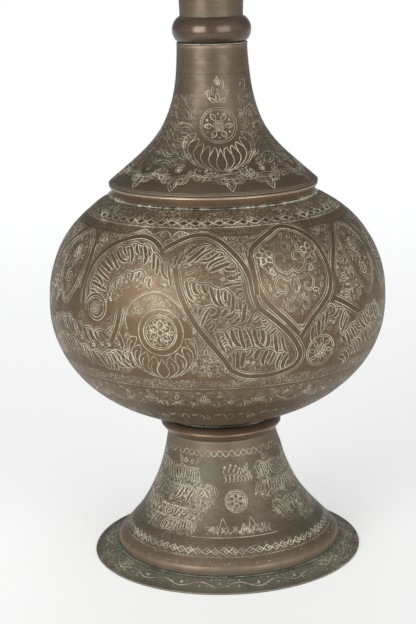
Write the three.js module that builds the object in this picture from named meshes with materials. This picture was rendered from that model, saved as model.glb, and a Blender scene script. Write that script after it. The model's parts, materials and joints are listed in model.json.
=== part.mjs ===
// An engraved vase of brass and copper sheet on a trumpet foot.
// Millimetres, +Z up. The origin is at the centre of the foot, on the table.
// Every piece is round about the Z axis, and the pieces stack up along their soldered seams.

import * as THREE from 'three';

// Sheet, seams and the number of flats round each ring
const sheet = 1.4;                // thickness of the brim, pedestal, bulb and bell
const neckSheet = 1.2;            // thickness of the upper neck and the bead
const bandSheet = 1.6;            // thickness of the shoulder band
const seamGap = 0.3;              // left between two pieces that touch
const seamSolder = 0.6;           // thickness of a solder seam
const bodySides = 44;
const neckSides = 32;
const wireCorners = 7;            // of the wire's section

// Steps along the curved outlines
const shoulderSteps = 3;
const flankSteps = 8;
const bulbLowerSteps = 7;
const bulbUpperSteps = 6;
const landingSteps = 3;
const coneSteps = 10;
const beadSteps = 8;
const neckSteps = 8;
const rollSteps = 6;

// Brim of the foot
const brimWidth = 17.2;           // from the pedestal's edge to the brim's edge
const brimLand = 3.5;             // flat underside at the edge, which stands on the table
const brimRise = 4.2;             // height of the underside beneath the pedestal
const brimSeatMargin = 1.2;       // flat seat outside the pedestal's edge
const brimSeatWidth = 8.5;        // flat seat inside the pedestal's edge
const brimSolderProud = 0.5;      // pale seam that shows outside the pedestal's edge
const brimFillet = 2.4;           // solder fillet in the hidden corner

// Pedestal
const pedestalRadius = 80.4;      // at the lower edge
const pedestalHeight = 83.9;
const shoulderHeight = 7;         // rounded shoulder over the lower edge
const shoulderInset = 1.8;        // how far the shoulder draws in
const shoulderPull = 0.8;         // how far the shoulder's handle lies outside the lower edge
const shoulderPullHeight = 4.9;   // height of that handle over the lower edge
const flankLean = 40.2;           // degrees from upright where the flank leaves the shoulder
const flankPull = 9.5;
const waistRadius = 39.5;
const waistLean = 6.7;            // degrees from upright at the waist
const waistPull = 50;

// Collar under the bulb
const collarProud = 4.7;          // how far its edge stands out from the waist
const collarRise = 5;             // height of the edge over the pedestal's top
const collarHeight = 9.3;
const collarFoot = 0.9;           // how far its lower end stands out from the waist
const collarTopProud = 1.1;       // how far its top stands out from the waist
const collarEdge = 0.9;           // flat on the edge between the two slopes
const collarWall = 1.7;           // thickness of the spigot
const collarSpigot = 6;           // how deep the spigot reaches into the pedestal

// Bulb
const bulbRadius = 119.65;        // the widest circle
const bulbLowerDepth = 87.9;      // from the widest circle down to the bottom
const bulbLowerFullness = 2.13;   // 2 is an ellipse, more is fuller
const bulbUpperDepth = 91.4;      // from the widest circle up to where the dome would close
const bulbUpperFullness = 2.21;
const footSolder = 2.3;           // thick solder between the collar and the bulb
const landingWidth = 12.7;        // the dome flattens this far outside the band
const landingRise = 4.3;          // height of the flat seat over the start of the landing
const seatMargin = 2;             // flat seat outside the band
const openingInset = 4.3;         // flat seat inside the band

// Shoulder band
const bandRadius = 70.3;          // at its foot
const bandHeight = 7.7;
const bandFlare = 2.9;            // how far the top stands out from the foot
const bandFlange = 2.9;           // turned-in foot that stands on the bulb
const bandSolderProud = 1.4;      // lumpy seam that shows outside the band

// Bell-shaped lower neck
const bellLip = 0.2;              // how far the lip stands out from the band's top
const bellLipHeight = 1.9;        // rounded lip between the band and the cone
const bellLipInset = 1.5;         // how far the cone starts inside the lip
const bellHeight = 95.3;
const bellLean = 48.9;            // degrees from upright where the cone leaves the lip
const bellPull = 37.3;
const bellTopRadius = 24.82;
const bellTopLean = 0.6;          // degrees from upright at the top
const bellTopPull = 60.4;
const skirtDepth = 5;             // turned-down skirt inside the band
const neckSolderProud = 0.35;     // thin pale seam that shows round the bell's top

// Bead over the joint of the neck
const beadHeight = 17.4;
const beadBulge = 4.2;
const beadClearance = 0.45;       // between the bead's upper end and the neck, which widens there

// Upper neck and mouth
const neckSpigot = 16;            // how deep the neck reaches into the bell
const neckRadius = 22.4;          // narrowest, just over the bead
const neckNarrowRise = 1.4;       // height of the narrowest circle over the bead
const neckHeight = 114;           // from the narrowest circle to the start of the rolled edge
const neckLean = -1.5;            // degrees from upright, minus is outwards
const neckPull = 55;
const mouthRadius = 44;           // where the rolled edge starts
const mouthLean = -50;
const mouthPull = 22;
const wireRadius = 1.6;           // wire inside the rolled edge
const rollAngle = 260;            // degrees that the edge goes round the wire

// Places that follow from the sizes
const brimRadius = pedestalRadius + brimWidth;
const seatHeight = brimRise + sheet;
const brimSolderHeight = seatHeight + seamGap;
const pedestalFoot = brimSolderHeight + seamSolder + seamGap;
const pedestalTop = pedestalFoot + pedestalHeight;
const collarBase = pedestalTop + seamGap;
const collarTop = collarBase + collarHeight;
const spigotRadius = waistRadius - sheet - seamGap;
const collarBore = spigotRadius - collarWall;
const collarTopRadius = waistRadius + collarTopProud;
const cradleRadius = (collarBore + collarTopRadius) / 2;
const bulbCentre = collarTop + footSolder + 2 * seamGap
  + domeReach(cradleRadius, bulbLowerDepth, bulbLowerFullness);
const landingRadius = bandRadius + landingWidth;
const landingHeight = bulbCentre + domeReach(landingRadius, bulbUpperDepth, bulbUpperFullness);
const bulbTop = landingHeight + landingRise;
const shoulderSolderHeight = bulbTop + seamGap;
const bandFoot = shoulderSolderHeight + seamSolder + seamGap;
const bandTop = bandFoot + bandHeight;
const bandTopRadius = bandRadius + bandFlare;
const bellFoot = bandTop + seamGap;
const bellTop = bellFoot + bellHeight;
const neckSolderHeight = bellTop + seamGap;
const beadFoot = neckSolderHeight + seamSolder + seamGap;
const beadTop = beadFoot + beadHeight;
const neckSpigotRadius = bellTopRadius - sheet - seamGap;
const neckNarrow = beadTop + neckNarrowRise;
const mouthHeight = neckNarrow + neckHeight;

// Finishes
const brownBrass = new THREE.MeshStandardMaterial({ color: 0x82725d, roughness: 0.5, metalness: 0.75 });
const greenedBrass = new THREE.MeshStandardMaterial({ color: 0x66635a, roughness: 0.6, metalness: 0.65 });
const redCopper = new THREE.MeshStandardMaterial({ color: 0x7c6249, roughness: 0.4, metalness: 0.8 });
const paleSolder = new THREE.MeshStandardMaterial({ color: 0x9da392, roughness: 0.75, metalness: 0.3 });
const darkSolder = new THREE.MeshStandardMaterial({ color: 0x4d5348, roughness: 0.8, metalness: 0.3 });
const ironWire = new THREE.MeshStandardMaterial({ color: 0x5b5149, roughness: 0.6, metalness: 0.7 });

// A point of an outline: its distance from the axis and its height.
function at(radius, height) {
  return new THREE.Vector2(radius, height);
}

// A direction in an outline, given by its lean towards the axis in degrees from upright.
function heading(lean) {
  const angle = THREE.MathUtils.degToRad(lean);
  return at(-Math.sin(angle), Math.cos(angle));
}

// Distance of the bulb's dome from its widest circle, along the axis, at a radius.
function domeReach(radius, depth, fullness) {
  return depth * (1 - (radius / bulbRadius) ** fullness) ** (1 / fullness);
}

// Points of a curve that leaves its start and reaches its end with given leans and pulls.
function sweep(start, end, startLean, endLean, startPull, endPull, steps) {
  const startHandle = start.clone().addScaledVector(heading(startLean), startPull);
  const endHandle = end.clone().addScaledVector(heading(endLean), -endPull);
  return new THREE.CubicBezierCurve(start, startHandle, endHandle, end).getPoints(steps);
}

// The other face of a sheet: each point moves to the left of the path by the thickness.
function otherFace(path, thickness) {
  return path.map((point, index) => {
    const before = path[Math.max(index - 1, 0)];
    const after = path[Math.min(index + 1, path.length - 1)];
    const along = after.clone().sub(before).normalize();
    const moved = at(point.x - along.y * thickness, point.y + along.x * thickness);
    moved.x = Math.max(moved.x, 0);
    return moved;
  });
}

// Closed outline of a sheet whose outer face follows the path upwards.
function sheetOutline(path, thickness) {
  return [...path, ...otherFace(path, thickness).reverse()];
}

// A ring turned about Z from an outline that runs up its outside and down its inside.
function ring(name, outline, sides, material) {
  const closed = outline[0].x > 0 ? [...outline, outline[0].clone()] : outline;
  const geometry = new THREE.LatheGeometry(closed, sides);
  geometry.rotateX(Math.PI / 2);
  const mesh = new THREE.Mesh(geometry, material);
  mesh.name = name;
  return mesh;
}

// Brim: flat at its edge, sloping up to the flat seat of the pedestal.
function makeBrim() {
  const inner = pedestalRadius - brimSeatWidth;
  const seatEnd = pedestalRadius + brimSeatMargin;
  const landStart = brimRadius - brimLand;
  const underside = [at(inner, brimRise), at(seatEnd, brimRise), at(landStart, 0), at(brimRadius, 0)];
  const topside = underside.map((point) => at(point.x, point.y + sheet)).reverse();
  return ring('foot_brim', [...underside, ...topside], bodySides, greenedBrass);
}

// Solder under the pedestal's edge, with a fillet in the corner inside.
function makeBrimSolder() {
  const wallInside = pedestalRadius - sheet - shoulderInset - seamGap;
  const top = brimSolderHeight + seamSolder;
  const outline = [
    at(wallInside - brimFillet, brimSolderHeight),
    at(pedestalRadius + brimSolderProud, brimSolderHeight),
    at(pedestalRadius + brimSolderProud, top),
    at(wallInside, top),
    at(wallInside, top + brimFillet),
  ];
  return ring('foot_brim_solder', outline, bodySides, paleSolder);
}

// Pedestal: a rounded shoulder, then a flank that narrows in one sweep to the waist.
function makePedestal() {
  const shoulderTop = at(pedestalRadius - shoulderInset, pedestalFoot + shoulderHeight);
  const shoulder = new THREE.QuadraticBezierCurve(
    at(pedestalRadius, pedestalFoot),
    at(pedestalRadius + shoulderPull, pedestalFoot + shoulderPullHeight),
    shoulderTop,
  ).getPoints(shoulderSteps);
  const flankTop = at(waistRadius, pedestalTop);
  const flank = sweep(shoulderTop, flankTop, flankLean, waistLean, flankPull, waistPull, flankSteps);
  const path = [...shoulder, ...flank.slice(1)];
  return ring('foot_pedestal', sheetOutline(path, sheet), bodySides, brownBrass);
}

// Collar: a moulding of two slopes that meet in an edge, on a spigot inside the pedestal.
function makeCollar() {
  const edgeRadius = waistRadius + collarProud;
  const edgeHeight = collarBase + collarRise;
  const outline = [
    at(spigotRadius, collarBase - collarSpigot),
    at(spigotRadius, collarBase),
    at(waistRadius + collarFoot, collarBase),
    at(edgeRadius, edgeHeight - collarEdge / 2),
    at(edgeRadius, edgeHeight + collarEdge / 2),
    at((edgeRadius + collarTopRadius) / 2, (edgeHeight + collarTop) / 2 + collarEdge),
    at(collarTopRadius, collarTop),
    at(collarBore, collarTop),
    at(collarBore, collarBase - collarSpigot),
  ];
  return ring('foot_collar', outline, neckSides, redCopper);
}

// Solder that beds the bulb on the collar. Its top follows the bulb's underside.
function makeFootSolder() {
  const foot = collarTop + seamGap;
  const under = (radius) => bulbCentre - domeReach(radius, bulbLowerDepth, bulbLowerFullness) - seamGap;
  const inner = collarBore + seamGap;
  const outer = collarTopRadius - seamGap;
  const outline = [at(inner, foot), at(outer, foot), at(outer, under(outer)), at(inner, under(inner))];
  return ring('foot_solder', outline, neckSides, darkSolder);
}

// Bulb: two domes that meet in the widest circle, flattened at the top to a seat with an opening.
function makeBulb() {
  const dome = (turn, depth, fullness) => at(
    bulbRadius * Math.cos(turn) ** (2 / fullness),
    depth * Math.sin(turn) ** (2 / fullness),
  );
  const path = [at(0, bulbCentre - bulbLowerDepth)];
  for (let step = 1; step <= bulbLowerSteps; step += 1) {
    const point = dome((1 - step / bulbLowerSteps) * Math.PI / 2, bulbLowerDepth, bulbLowerFullness);
    path.push(at(point.x, bulbCentre - point.y));
  }
  const landingShare = landingRadius / bulbRadius;
  const landingTurn = Math.acos(landingShare ** (bulbUpperFullness / 2));
  for (let step = 1; step <= bulbUpperSteps; step += 1) {
    const point = dome(landingTurn * step / bulbUpperSteps, bulbUpperDepth, bulbUpperFullness);
    path.push(at(point.x, bulbCentre + point.y));
  }
  const closing = 1 - landingShare ** bulbUpperFullness;
  const slope = bulbUpperDepth / bulbRadius * landingShare ** (bulbUpperFullness - 1)
    * closing ** (1 / bulbUpperFullness - 1);
  const landing = new THREE.QuadraticBezierCurve(
    at(landingRadius, landingHeight),
    at(landingRadius - landingRise / slope, bulbTop),
    at(bandRadius + seatMargin, bulbTop),
  ).getPoints(landingSteps);
  path.push(...landing.slice(1), at(bandRadius - openingInset, bulbTop));
  return ring('body_bulb', sheetOutline(path, sheet), bodySides, brownBrass);
}

// Solder between the bulb's seat and the band. It shows as a low ridge round the band's foot.
function makeShoulderSolder() {
  const outer = bandRadius + bandSolderProud;
  const top = shoulderSolderHeight + seamSolder;
  const outline = [
    at(bandRadius - bandFlange, shoulderSolderHeight),
    at(outer, shoulderSolderHeight),
    at(outer - seamSolder, top),
    at(bandRadius - bandFlange, top),
  ];
  return ring('shoulder_solder', outline, bodySides, paleSolder);
}

// Distance of the band's outer face from the axis at a height.
function bandFace(height) {
  return bandRadius + bandFlare * (height - bandFoot) / bandHeight;
}

// Band: a strip that widens upwards, with its foot turned in.
function makeBand() {
  const outline = [
    at(bandRadius - bandFlange, bandFoot),
    at(bandRadius, bandFoot),
    at(bandTopRadius, bandTop - bandSheet / 4),
    at(bandTopRadius - bandSheet / 4, bandTop),
    at(bandTopRadius - bandSheet, bandTop),
    at(bandFace(bandFoot + bandSheet) - bandSheet, bandFoot + bandSheet),
    at(bandRadius - bandFlange, bandFoot + bandSheet),
  ];
  return ring('shoulder_band', outline, bodySides, redCopper);
}

// Bell: a skirt inside the band, a rounded lip over it, and a cone that sweeps up to a tube.
function makeBell() {
  const skirtInside = bandSheet + seamGap;
  const skirtFoot = bellFoot - skirtDepth;
  const lipRadius = bandTopRadius + bellLip;
  const coneStart = at(lipRadius - bellLipInset, bellFoot + bellLipHeight);
  const coneTop = at(bellTopRadius, bellTop);
  const cone = sweep(coneStart, coneTop, bellLean, bellTopLean, bellPull, bellTopPull, coneSteps);
  const outside = [
    at(bandFace(skirtFoot) - skirtInside, skirtFoot),
    at(bandFace(bellFoot) - skirtInside, bellFoot),
    at(lipRadius - bellLipHeight / 4, bellFoot),
    at(lipRadius, bellFoot + bellLipHeight / 3),
    ...cone,
  ];
  const inside = otherFace(cone, sheet).slice(1).reverse();
  const skirtInner = at(bandFace(skirtFoot) - skirtInside - sheet, skirtFoot);
  const lipInner = at(bandFace(bellFoot) - skirtInside - sheet, bellFoot);
  return ring('neck_bell', [...outside, ...inside, lipInner, skirtInner], bodySides, brownBrass);
}

// Thin solder seam on the bell's top edge.
function makeNeckSolder() {
  const inner = neckSpigotRadius + seamGap;
  const outer = bellTopRadius + neckSolderProud;
  const top = neckSolderHeight + seamSolder;
  const outline = [at(inner, neckSolderHeight), at(outer, neckSolderHeight), at(outer, top), at(inner, top)];
  return ring('neck_solder', outline, neckSides, paleSolder);
}

// One face of the bead, from its foot to its top: a half round on the neck.
function beadFace(inset) {
  const lowerRadius = neckSpigotRadius + seamGap;
  const upperRadius = neckRadius + beadClearance;
  const face = [];
  for (let step = 0; step <= beadSteps; step += 1) {
    const turn = Math.PI * (step / beadSteps - 0.5);
    const climb = (1 + Math.sin(turn)) / 2;
    const base = lowerRadius + (upperRadius - lowerRadius) * climb;
    const height = beadFoot + inset + (beadHeight - 2 * inset) * climb;
    face.push(at(base + (beadBulge - inset) * Math.cos(turn), height));
  }
  return face;
}

// Bead: a hollow ring, open towards the neck, that closes on the neck above and below.
function makeBead() {
  return ring('neck_bead', [...beadFace(0), ...beadFace(neckSheet).reverse()], neckSides, redCopper);
}

// Centre of the wire in the mouth's edge: it lies against the outer face of the flare.
function wireCentre() {
  const outwards = heading(mouthLean);
  const reach = wireRadius + seamGap;
  return at(mouthRadius + outwards.y * reach, mouthHeight - outwards.x * reach);
}

// Upper neck: a spigot in the bell, a slender flare, and an edge rolled outwards over the wire.
function makeTrumpet() {
  const spigot = [
    at(neckSpigotRadius, bellTop - neckSpigot),
    at(neckSpigotRadius, beadFoot),
    at((neckSpigotRadius + neckRadius) / 2, (beadFoot + beadTop) / 2),
  ];
  const narrow = at(neckRadius, neckNarrow);
  const mouth = at(mouthRadius, mouthHeight);
  const flare = sweep(narrow, mouth, neckLean, mouthLean, neckPull, mouthPull, neckSteps);
  const centre = wireCentre();
  const reach = wireRadius + seamGap;
  const firstTurn = Math.PI + THREE.MathUtils.degToRad(mouthLean);
  const roll = [];
  for (let step = 1; step <= rollSteps; step += 1) {
    const turn = firstTurn - THREE.MathUtils.degToRad(rollAngle) * step / rollSteps;
    roll.push(at(centre.x + reach * Math.cos(turn), centre.y + reach * Math.sin(turn)));
  }
  return ring('neck_trumpet', sheetOutline([...spigot, ...flare, ...roll], neckSheet), neckSides, brownBrass);
}

// Wire inside the mouth's rolled edge.
function makeMouthWire() {
  const centre = wireCentre();
  const outline = [];
  for (let corner = 0; corner < wireCorners; corner += 1) {
    const turn = 2 * Math.PI * corner / wireCorners;
    outline.push(at(centre.x + wireRadius * Math.cos(turn), centre.y + wireRadius * Math.sin(turn)));
  }
  return ring('mouth_wire', outline, neckSides, ironWire);
}

const foot = new THREE.Group();
foot.add(makeBrim(), makeBrimSolder(), makePedestal(), makeCollar(), makeFootSolder());

const body = new THREE.Group();
body.add(makeBulb(), makeShoulderSolder(), makeBand());

const neck = new THREE.Group();
neck.add(makeBell(), makeNeckSolder(), makeBead(), makeTrumpet(), makeMouthWire());

const vase = new THREE.Group();
vase.add(foot, body, neck);

export default vase;
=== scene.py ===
# An engraved vase of brass and copper sheet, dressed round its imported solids.
# Shapes are worked out in millimetres and go into metres when a mesh is made.
import json
import bpy
import numpy as np
from mathutils import Matrix, Vector

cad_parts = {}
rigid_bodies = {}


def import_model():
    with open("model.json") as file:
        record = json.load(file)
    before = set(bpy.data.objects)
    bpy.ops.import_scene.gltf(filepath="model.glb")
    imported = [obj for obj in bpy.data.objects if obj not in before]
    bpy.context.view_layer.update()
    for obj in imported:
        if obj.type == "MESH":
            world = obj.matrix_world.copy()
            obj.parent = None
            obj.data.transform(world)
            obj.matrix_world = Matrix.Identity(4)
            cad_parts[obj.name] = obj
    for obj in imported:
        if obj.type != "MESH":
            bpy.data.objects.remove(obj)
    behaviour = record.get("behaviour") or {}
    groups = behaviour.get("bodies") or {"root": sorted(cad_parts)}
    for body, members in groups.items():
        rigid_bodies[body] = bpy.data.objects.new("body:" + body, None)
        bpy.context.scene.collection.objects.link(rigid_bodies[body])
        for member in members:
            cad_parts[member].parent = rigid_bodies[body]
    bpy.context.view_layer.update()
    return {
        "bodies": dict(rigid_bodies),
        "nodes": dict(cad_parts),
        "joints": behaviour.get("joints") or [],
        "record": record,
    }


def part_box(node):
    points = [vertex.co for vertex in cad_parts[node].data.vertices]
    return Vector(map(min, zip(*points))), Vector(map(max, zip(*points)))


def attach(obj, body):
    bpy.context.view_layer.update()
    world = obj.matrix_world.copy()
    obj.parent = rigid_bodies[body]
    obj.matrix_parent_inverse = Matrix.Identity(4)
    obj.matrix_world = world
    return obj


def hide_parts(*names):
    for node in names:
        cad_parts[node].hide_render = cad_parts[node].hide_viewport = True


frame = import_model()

mm = 0.001
rad = np.radians

# Camera: at the photograph's height and distance, tipped down, with the slight roll of the picture
view = dict(lens=90, sensor=36, near=0.05, far=60, place=(0.00154, -1.0884, 0.43494), down=13.385,
    aside=-0.453, roll=-1.797)

def makeCamera():
    data = bpy.data.cameras.new("camera")
    data.lens, data.sensor_width = view["lens"], view["sensor"]
    data.clip_start, data.clip_end = view["near"], view["far"]
    camera = bpy.data.objects.new("camera", data)
    bpy.context.scene.collection.objects.link(camera)
    level = Matrix(((1, 0, 0), (0, 0, -1), (0, 1, 0)))  # rows are right, down and forward
    tip = Matrix.Rotation(rad(view["down"]), 3, "X")
    aside = Matrix.Rotation(-rad(view["aside"]), 3, "Y")
    roll = Matrix.Rotation(rad(view["roll"]), 3, "Z")
    right, down, forward = roll @ tip @ aside @ level
    turn = Matrix((right, -down, -forward)).transposed()
    camera.matrix_world = Matrix.Translation(view["place"]) @ turn.to_4x4()
    bpy.context.scene.camera = camera

makeCamera()
print("camera placed")


# Hand-beaten shape: shallow dents are a sum of waves round and up the vase, and the neck leans a
# little. Rows of handShift give height, step aside and swell in millimetres.
handMade = dict(dent=0.13, waves=14, seed=4, fade=20, lean=0.61, leanFrom=256, leanEase=(250, 262))
handShift = np.array([
    (0, 2.1, -0.2), (8, 3.1, 0.3), (25, 2.9, 0.9), (50, 1.5, 0.7), (75, 1.0, 0.5), (92, 0.2, -0.6),
    (104, -0.6, -0.7), (125, -0.4, -0.4), (155, 0.1, -0.25), (187, 0, -0.05), (215, 0.1, -0.05),
    (240, -0.4, 0.2), (256, -0.9, -0.4), (270, -0.6, 0.3), (290, -0.1, 0.5), (315, 0.3, 0.1),
    (345, 0.4, -0.1), (367, 0.2, -0.3), (386, 0.2, -0.4), (420, 0.1, 0)])
dentDice = np.random.default_rng(handMade["seed"])
dentRound = dentDice.integers(2, 12, handMade["waves"])
dentUp = dentDice.uniform(0.03, 0.16, handMade["waves"])
dentStart = dentDice.uniform(0, 2 * np.pi, handMade["waves"])

# Smooth step from 0 to 1: 3t^2 - 2t^3.
def eased(value, start, end):
    t = np.clip((value - start) / (end - start), 0, 1)
    return t * t * (3 - 2 * t)

# Values of a column of handShift at heights, eased from row to row.
def shiftAt(height, column):
    level, value = handShift[:, 0], handShift[:, column]
    row = np.clip(np.searchsorted(level, height) - 1, 0, len(level) - 2)
    share = eased(height, level[row], level[row + 1])
    return value[row] + (value[row + 1] - value[row]) * share

# A point of the vase from its angle (0 in front, rightwards), distance from the axis and height:
# (r sin a, -r cos a, z), with the dents, the swell, the step aside and the lean added.
def placed(turn, radius, height):
    wave = np.cos(dentRound * turn[..., None] + dentUp * height[..., None] + dentStart).mean(-1)
    dent = handMade["dent"] * (np.clip(2 * wave, -1, 1) - 1)
    reach = radius + (dent + shiftAt(height, 2)) * np.clip(radius / handMade["fade"], 0, 1)
    x, y = reach * np.sin(turn), -reach * np.cos(turn)
    lean = rad(handMade["lean"]) * eased(height, *handMade["leanEase"])
    across = x + shiftAt(height, 1) + lean * np.maximum(height - handMade["leanFrom"], 0)
    return np.stack([across, y, height - lean * x], -1) * mm

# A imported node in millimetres: its largest radius, lowest and highest point.
def nodeSpan(node):
    low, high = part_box(node)
    return high.x / mm, low.z / mm, high.z / mm

# Points at distances and angles from the origin: r (cos a, sin a).
def polar(reach, angle):
    return np.stack([reach * np.cos(angle), reach * np.sin(angle)], -1)

# Each row of an array divided by its length.
def unit(rows):
    return rows / np.maximum(np.hypot(*rows.T), 1e-9)[:, None]

# Length along a path up to each point: the sum of the steps before it.
def runOf(path):
    return np.r_[0, np.cumsum(np.hypot(*np.diff(path, axis=0).T))]

# A quadratic curve: (1 - t)^2 start + 2t(1 - t) control + t^2 end.
def arched(t, start, control, end):
    return (1 - t)**2 * start + 2 * t * (1 - t) * control + t * t * end

sharpFrom = 38  # edges bent by more degrees than this stay sharp

# A mesh from points and groups of faces with the same number of corners.
def meshOf(name, points, faceGroups, numbers, corners):
    mesh = bpy.data.meshes.new(name)
    mesh.vertices.add(len(points))
    mesh.vertices.foreach_set("co", np.ascontiguousarray(points, np.float32).ravel())
    sizes = np.concatenate([np.full(len(f), f.shape[1]) for f in faceGroups])
    flat = np.concatenate([f.ravel() for f in faceGroups])
    mesh.loops.add(len(flat))
    mesh.loops.foreach_set("vertex_index", flat.astype(np.int32))
    mesh.polygons.add(len(sizes))
    mesh.polygons.foreach_set("loop_start", np.r_[0, np.cumsum(sizes)[:-1]].astype(np.int32))
    mesh.update(calc_edges=True)
    for key, values in numbers.items():
        layer = mesh.attributes.new(key, "FLOAT", "POINT")
        layer.data.foreach_set("value", np.ravel(values).astype(np.float32))
    layer = mesh.uv_layers.new(name="OFBake", do_init=False)
    layer.uv.foreach_set("vector", corners.astype(np.float32).ravel())
    mesh.shade_smooth()
    mesh.set_sharp_from_angle(angle=rad(sharpFrom))
    piece = bpy.data.objects.new(name, mesh)
    bpy.context.scene.collection.objects.link(piece)
    return piece

# The finished piece gets its finish, its slot, its body and the node that it stands for.
def settle(piece, finish, node=None):
    piece.data.materials.append(finish)
    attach(piece, "root")
    if node:
        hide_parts(node)


# Finishes

# A shader node: its sockets get links or values, and its settings their words.
def node(tree, kind, inputs=None, **settings):
    made = tree.nodes.new("ShaderNode" + kind)
    for key, value in settings.items():
        setattr(made, key, value)
    for key, value in (inputs or {}).items():
        if isinstance(value, bpy.types.NodeSocket):
            tree.links.new(value, made.inputs[key])
        else:
            made.inputs[key].default_value = value
    return made

def math(tree, kind, first, second=0.0, clamp=False):
    return node(tree, "Math", {0: first, 1: second}, operation=kind, use_clamp=clamp).outputs[0]

# The sum of several values.
def plus(tree, total, *others):
    for other in others:
        total = math(tree, "ADD", total, other)
    return total

# The product of several values.
def times(tree, product, *others):
    for other in others:
        product = math(tree, "MULTIPLY", product, other)
    return product

# A mix of two colours: first (1 - share) + second share, or their product where "kind" says so.
def mixed(tree, share, first, second, kind="MIX"):
    inputs = {0: share, 6: first, 7: second}
    return node(tree, "Mix", inputs, data_type="RGBA", blend_type=kind).outputs[2]

# A value taken from one range to another by a smooth step.
def ranged(tree, value, low, high, toLow=0.0, toHigh=1.0):
    inputs = {0: value, 1: low, 2: high, 3: toLow, 4: toHigh}
    return node(tree, "MapRange", inputs, interpolation_type="SMOOTHSTEP").outputs[0]

# Noise on Object coordinates, stretched by a scale for each axis.
def noise(tree, stretch, detail=3.0, rough=0.55, start=(0, 0, 0)):
    coords = node(tree, "TexCoord").outputs["Object"]
    lay = node(tree, "Mapping", {"Vector": coords, "Scale": stretch, "Location": start}).outputs[0]
    inputs = {"Vector": lay, "Scale": 1.0, "Detail": detail, "Roughness": rough}
    return node(tree, "TexNoise", inputs).outputs[0]

def attribute(tree, name):
    return node(tree, "Attribute", attribute_name=name).outputs["Fac"]

# A node group from rows of (name, kind, value) and (name, kind). Colours may be given without alpha.
def newGroup(name, inputs, outputs):
    group = bpy.data.node_groups.new(name, "ShaderNodeTree")
    for label, kind, value in inputs:
        socket = group.interface.new_socket(name=label, in_out="INPUT", socket_type="NodeSocket" + kind)
        socket.default_value = value if kind == "Float" else (*value, 1)
    for label, kind in outputs:
        group.interface.new_socket(name=label, in_out="OUTPUT", socket_type="NodeSocket" + kind)
    return group, group.nodes.new("NodeGroupInput").outputs

def putOut(group, **results):
    out = group.nodes.new("NodeGroupOutput").inputs
    for label, value in results.items():
        group.links.new(value, out[label])
    return group

# Each noise of the metal: stretch, detail, roughness and start
metalNoise = dict(
    broad=((13, 13, 17), 4, 0.6), mottle=((120, 120, 150), 5, 0.7, (3, 1, 2)), speck=((800, 800, 900), 2, 0.6),
    streak=((9, 9, 620), 3, 0.6), patch=((38, 38, 44), 5, 0.65, (7, 7, 1)),
    worn=((55, 55, 65), 4, 0.65, (5, 9, 2)), grain=((700, 700, 700), 2, 0.5),
    scratch=((430, 430, 430), 1, 0.5, (1, 2, 3)), crossScratch=((340, 340, 520), 1, 0.5, (4, 1, 7)))
# How much each of them counts
metalShares = dict(mottle=0.32, grime=0.75, crustRough=0.22, rubSheenSmooth=0.08, mottleHeight=0.6,
    speckHeight=0.25, streakHeight=0.35)

# Old metal: broad stains, fine mottling, streaks round the vase, brighter metal where hands rub and
# where highlights are painted in the same colour, and green where dirt gathers.
def makeAgedMetal():
    colors = [(key, "Color", (0.2, 0.2, 0.2)) for key in ("Metal", "Stain", "Rubbedsheen", "Green")]
    values = [("Stains", "Float", 0.5), ("Greening", "Float", 0.3), ("Streaks", "Float", 0.2),
        ("Gloss", "Float", 0.4)]
    outputs = [("Color", "Color"), ("Roughness", "Float"), ("Height", "Float")]
    group, given = newGroup("agedMetal", colors + values, outputs)
    broad, mottle, speck, streak, patch = (
        noise(group, *metalNoise[key]) for key in ("broad", "mottle", "speck", "streak", "patch"))
    stained = times(group, ranged(group, broad, 0.38, 0.66), given["Stains"])
    color = mixed(group, stained, given["Metal"], given["Stain"])
    dark = times(group, ranged(group, mottle, 0.42, 0.68), metalShares["mottle"])
    color = mixed(group, dark, color, given["Stain"])
    shade = times(group, ranged(group, streak, 0.3, 0.7, -0.5, 0.5), given["Streaks"])
    shade = plus(group, shade, ranged(group, speck, 0.3, 0.7, 0.93, 1.07))
    tint = node(group, "CombineColor", {0: shade, 1: shade, 2: shade}).outputs[0]
    color = mixed(group, 1.0, color, tint, "MULTIPLY")
    # Rubbed colour on worn edges and rubbed places, and also painted highlights: a line along the band's top,
    # the foot's shoulder and a sheen on the bulb's left.
    rubAndSheen = times(group, attribute(group, "rubAndSheen"), ranged(group, mottle, 0.3, 0.6, 0.35, 1.0))
    color = mixed(group, rubAndSheen, color, given["Rubbedsheen"])
    grime = times(group, attribute(group, "grime"), ranged(group, mottle, 0.3, 0.65, 0.3, 1.0))
    crust = times(group, ranged(group, patch, 0.5, 0.72), given["Greening"])
    crust = math(group, "ADD", crust, times(group, grime, metalShares["grime"]), clamp=True)
    color = mixed(group, crust, color, given["Green"])
    rough = plus(group, given["Gloss"], ranged(group, mottle, 0.3, 0.7, -0.06, 0.08),
        times(group, crust, metalShares["crustRough"]))
    rough = math(group, "SUBTRACT", rough, times(group, rubAndSheen, metalShares["rubSheenSmooth"]))
    heights = dict(mottleHeight=mottle, speckHeight=speck, streakHeight=streak)
    height = plus(group, *(times(group, value, metalShares[key]) for key, value in heights.items()))
    return putOut(group, Color=color, Roughness=rough, Height=height)

# How strong each part of a cut is, and how near its middle value a noise draws a scratch
cutShares = dict(edge=0.75, groundEdge=0.35, scratches=0.85, dull=0.8, rough=0.25, scratchWidth=(0.008, 0.036))
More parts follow.
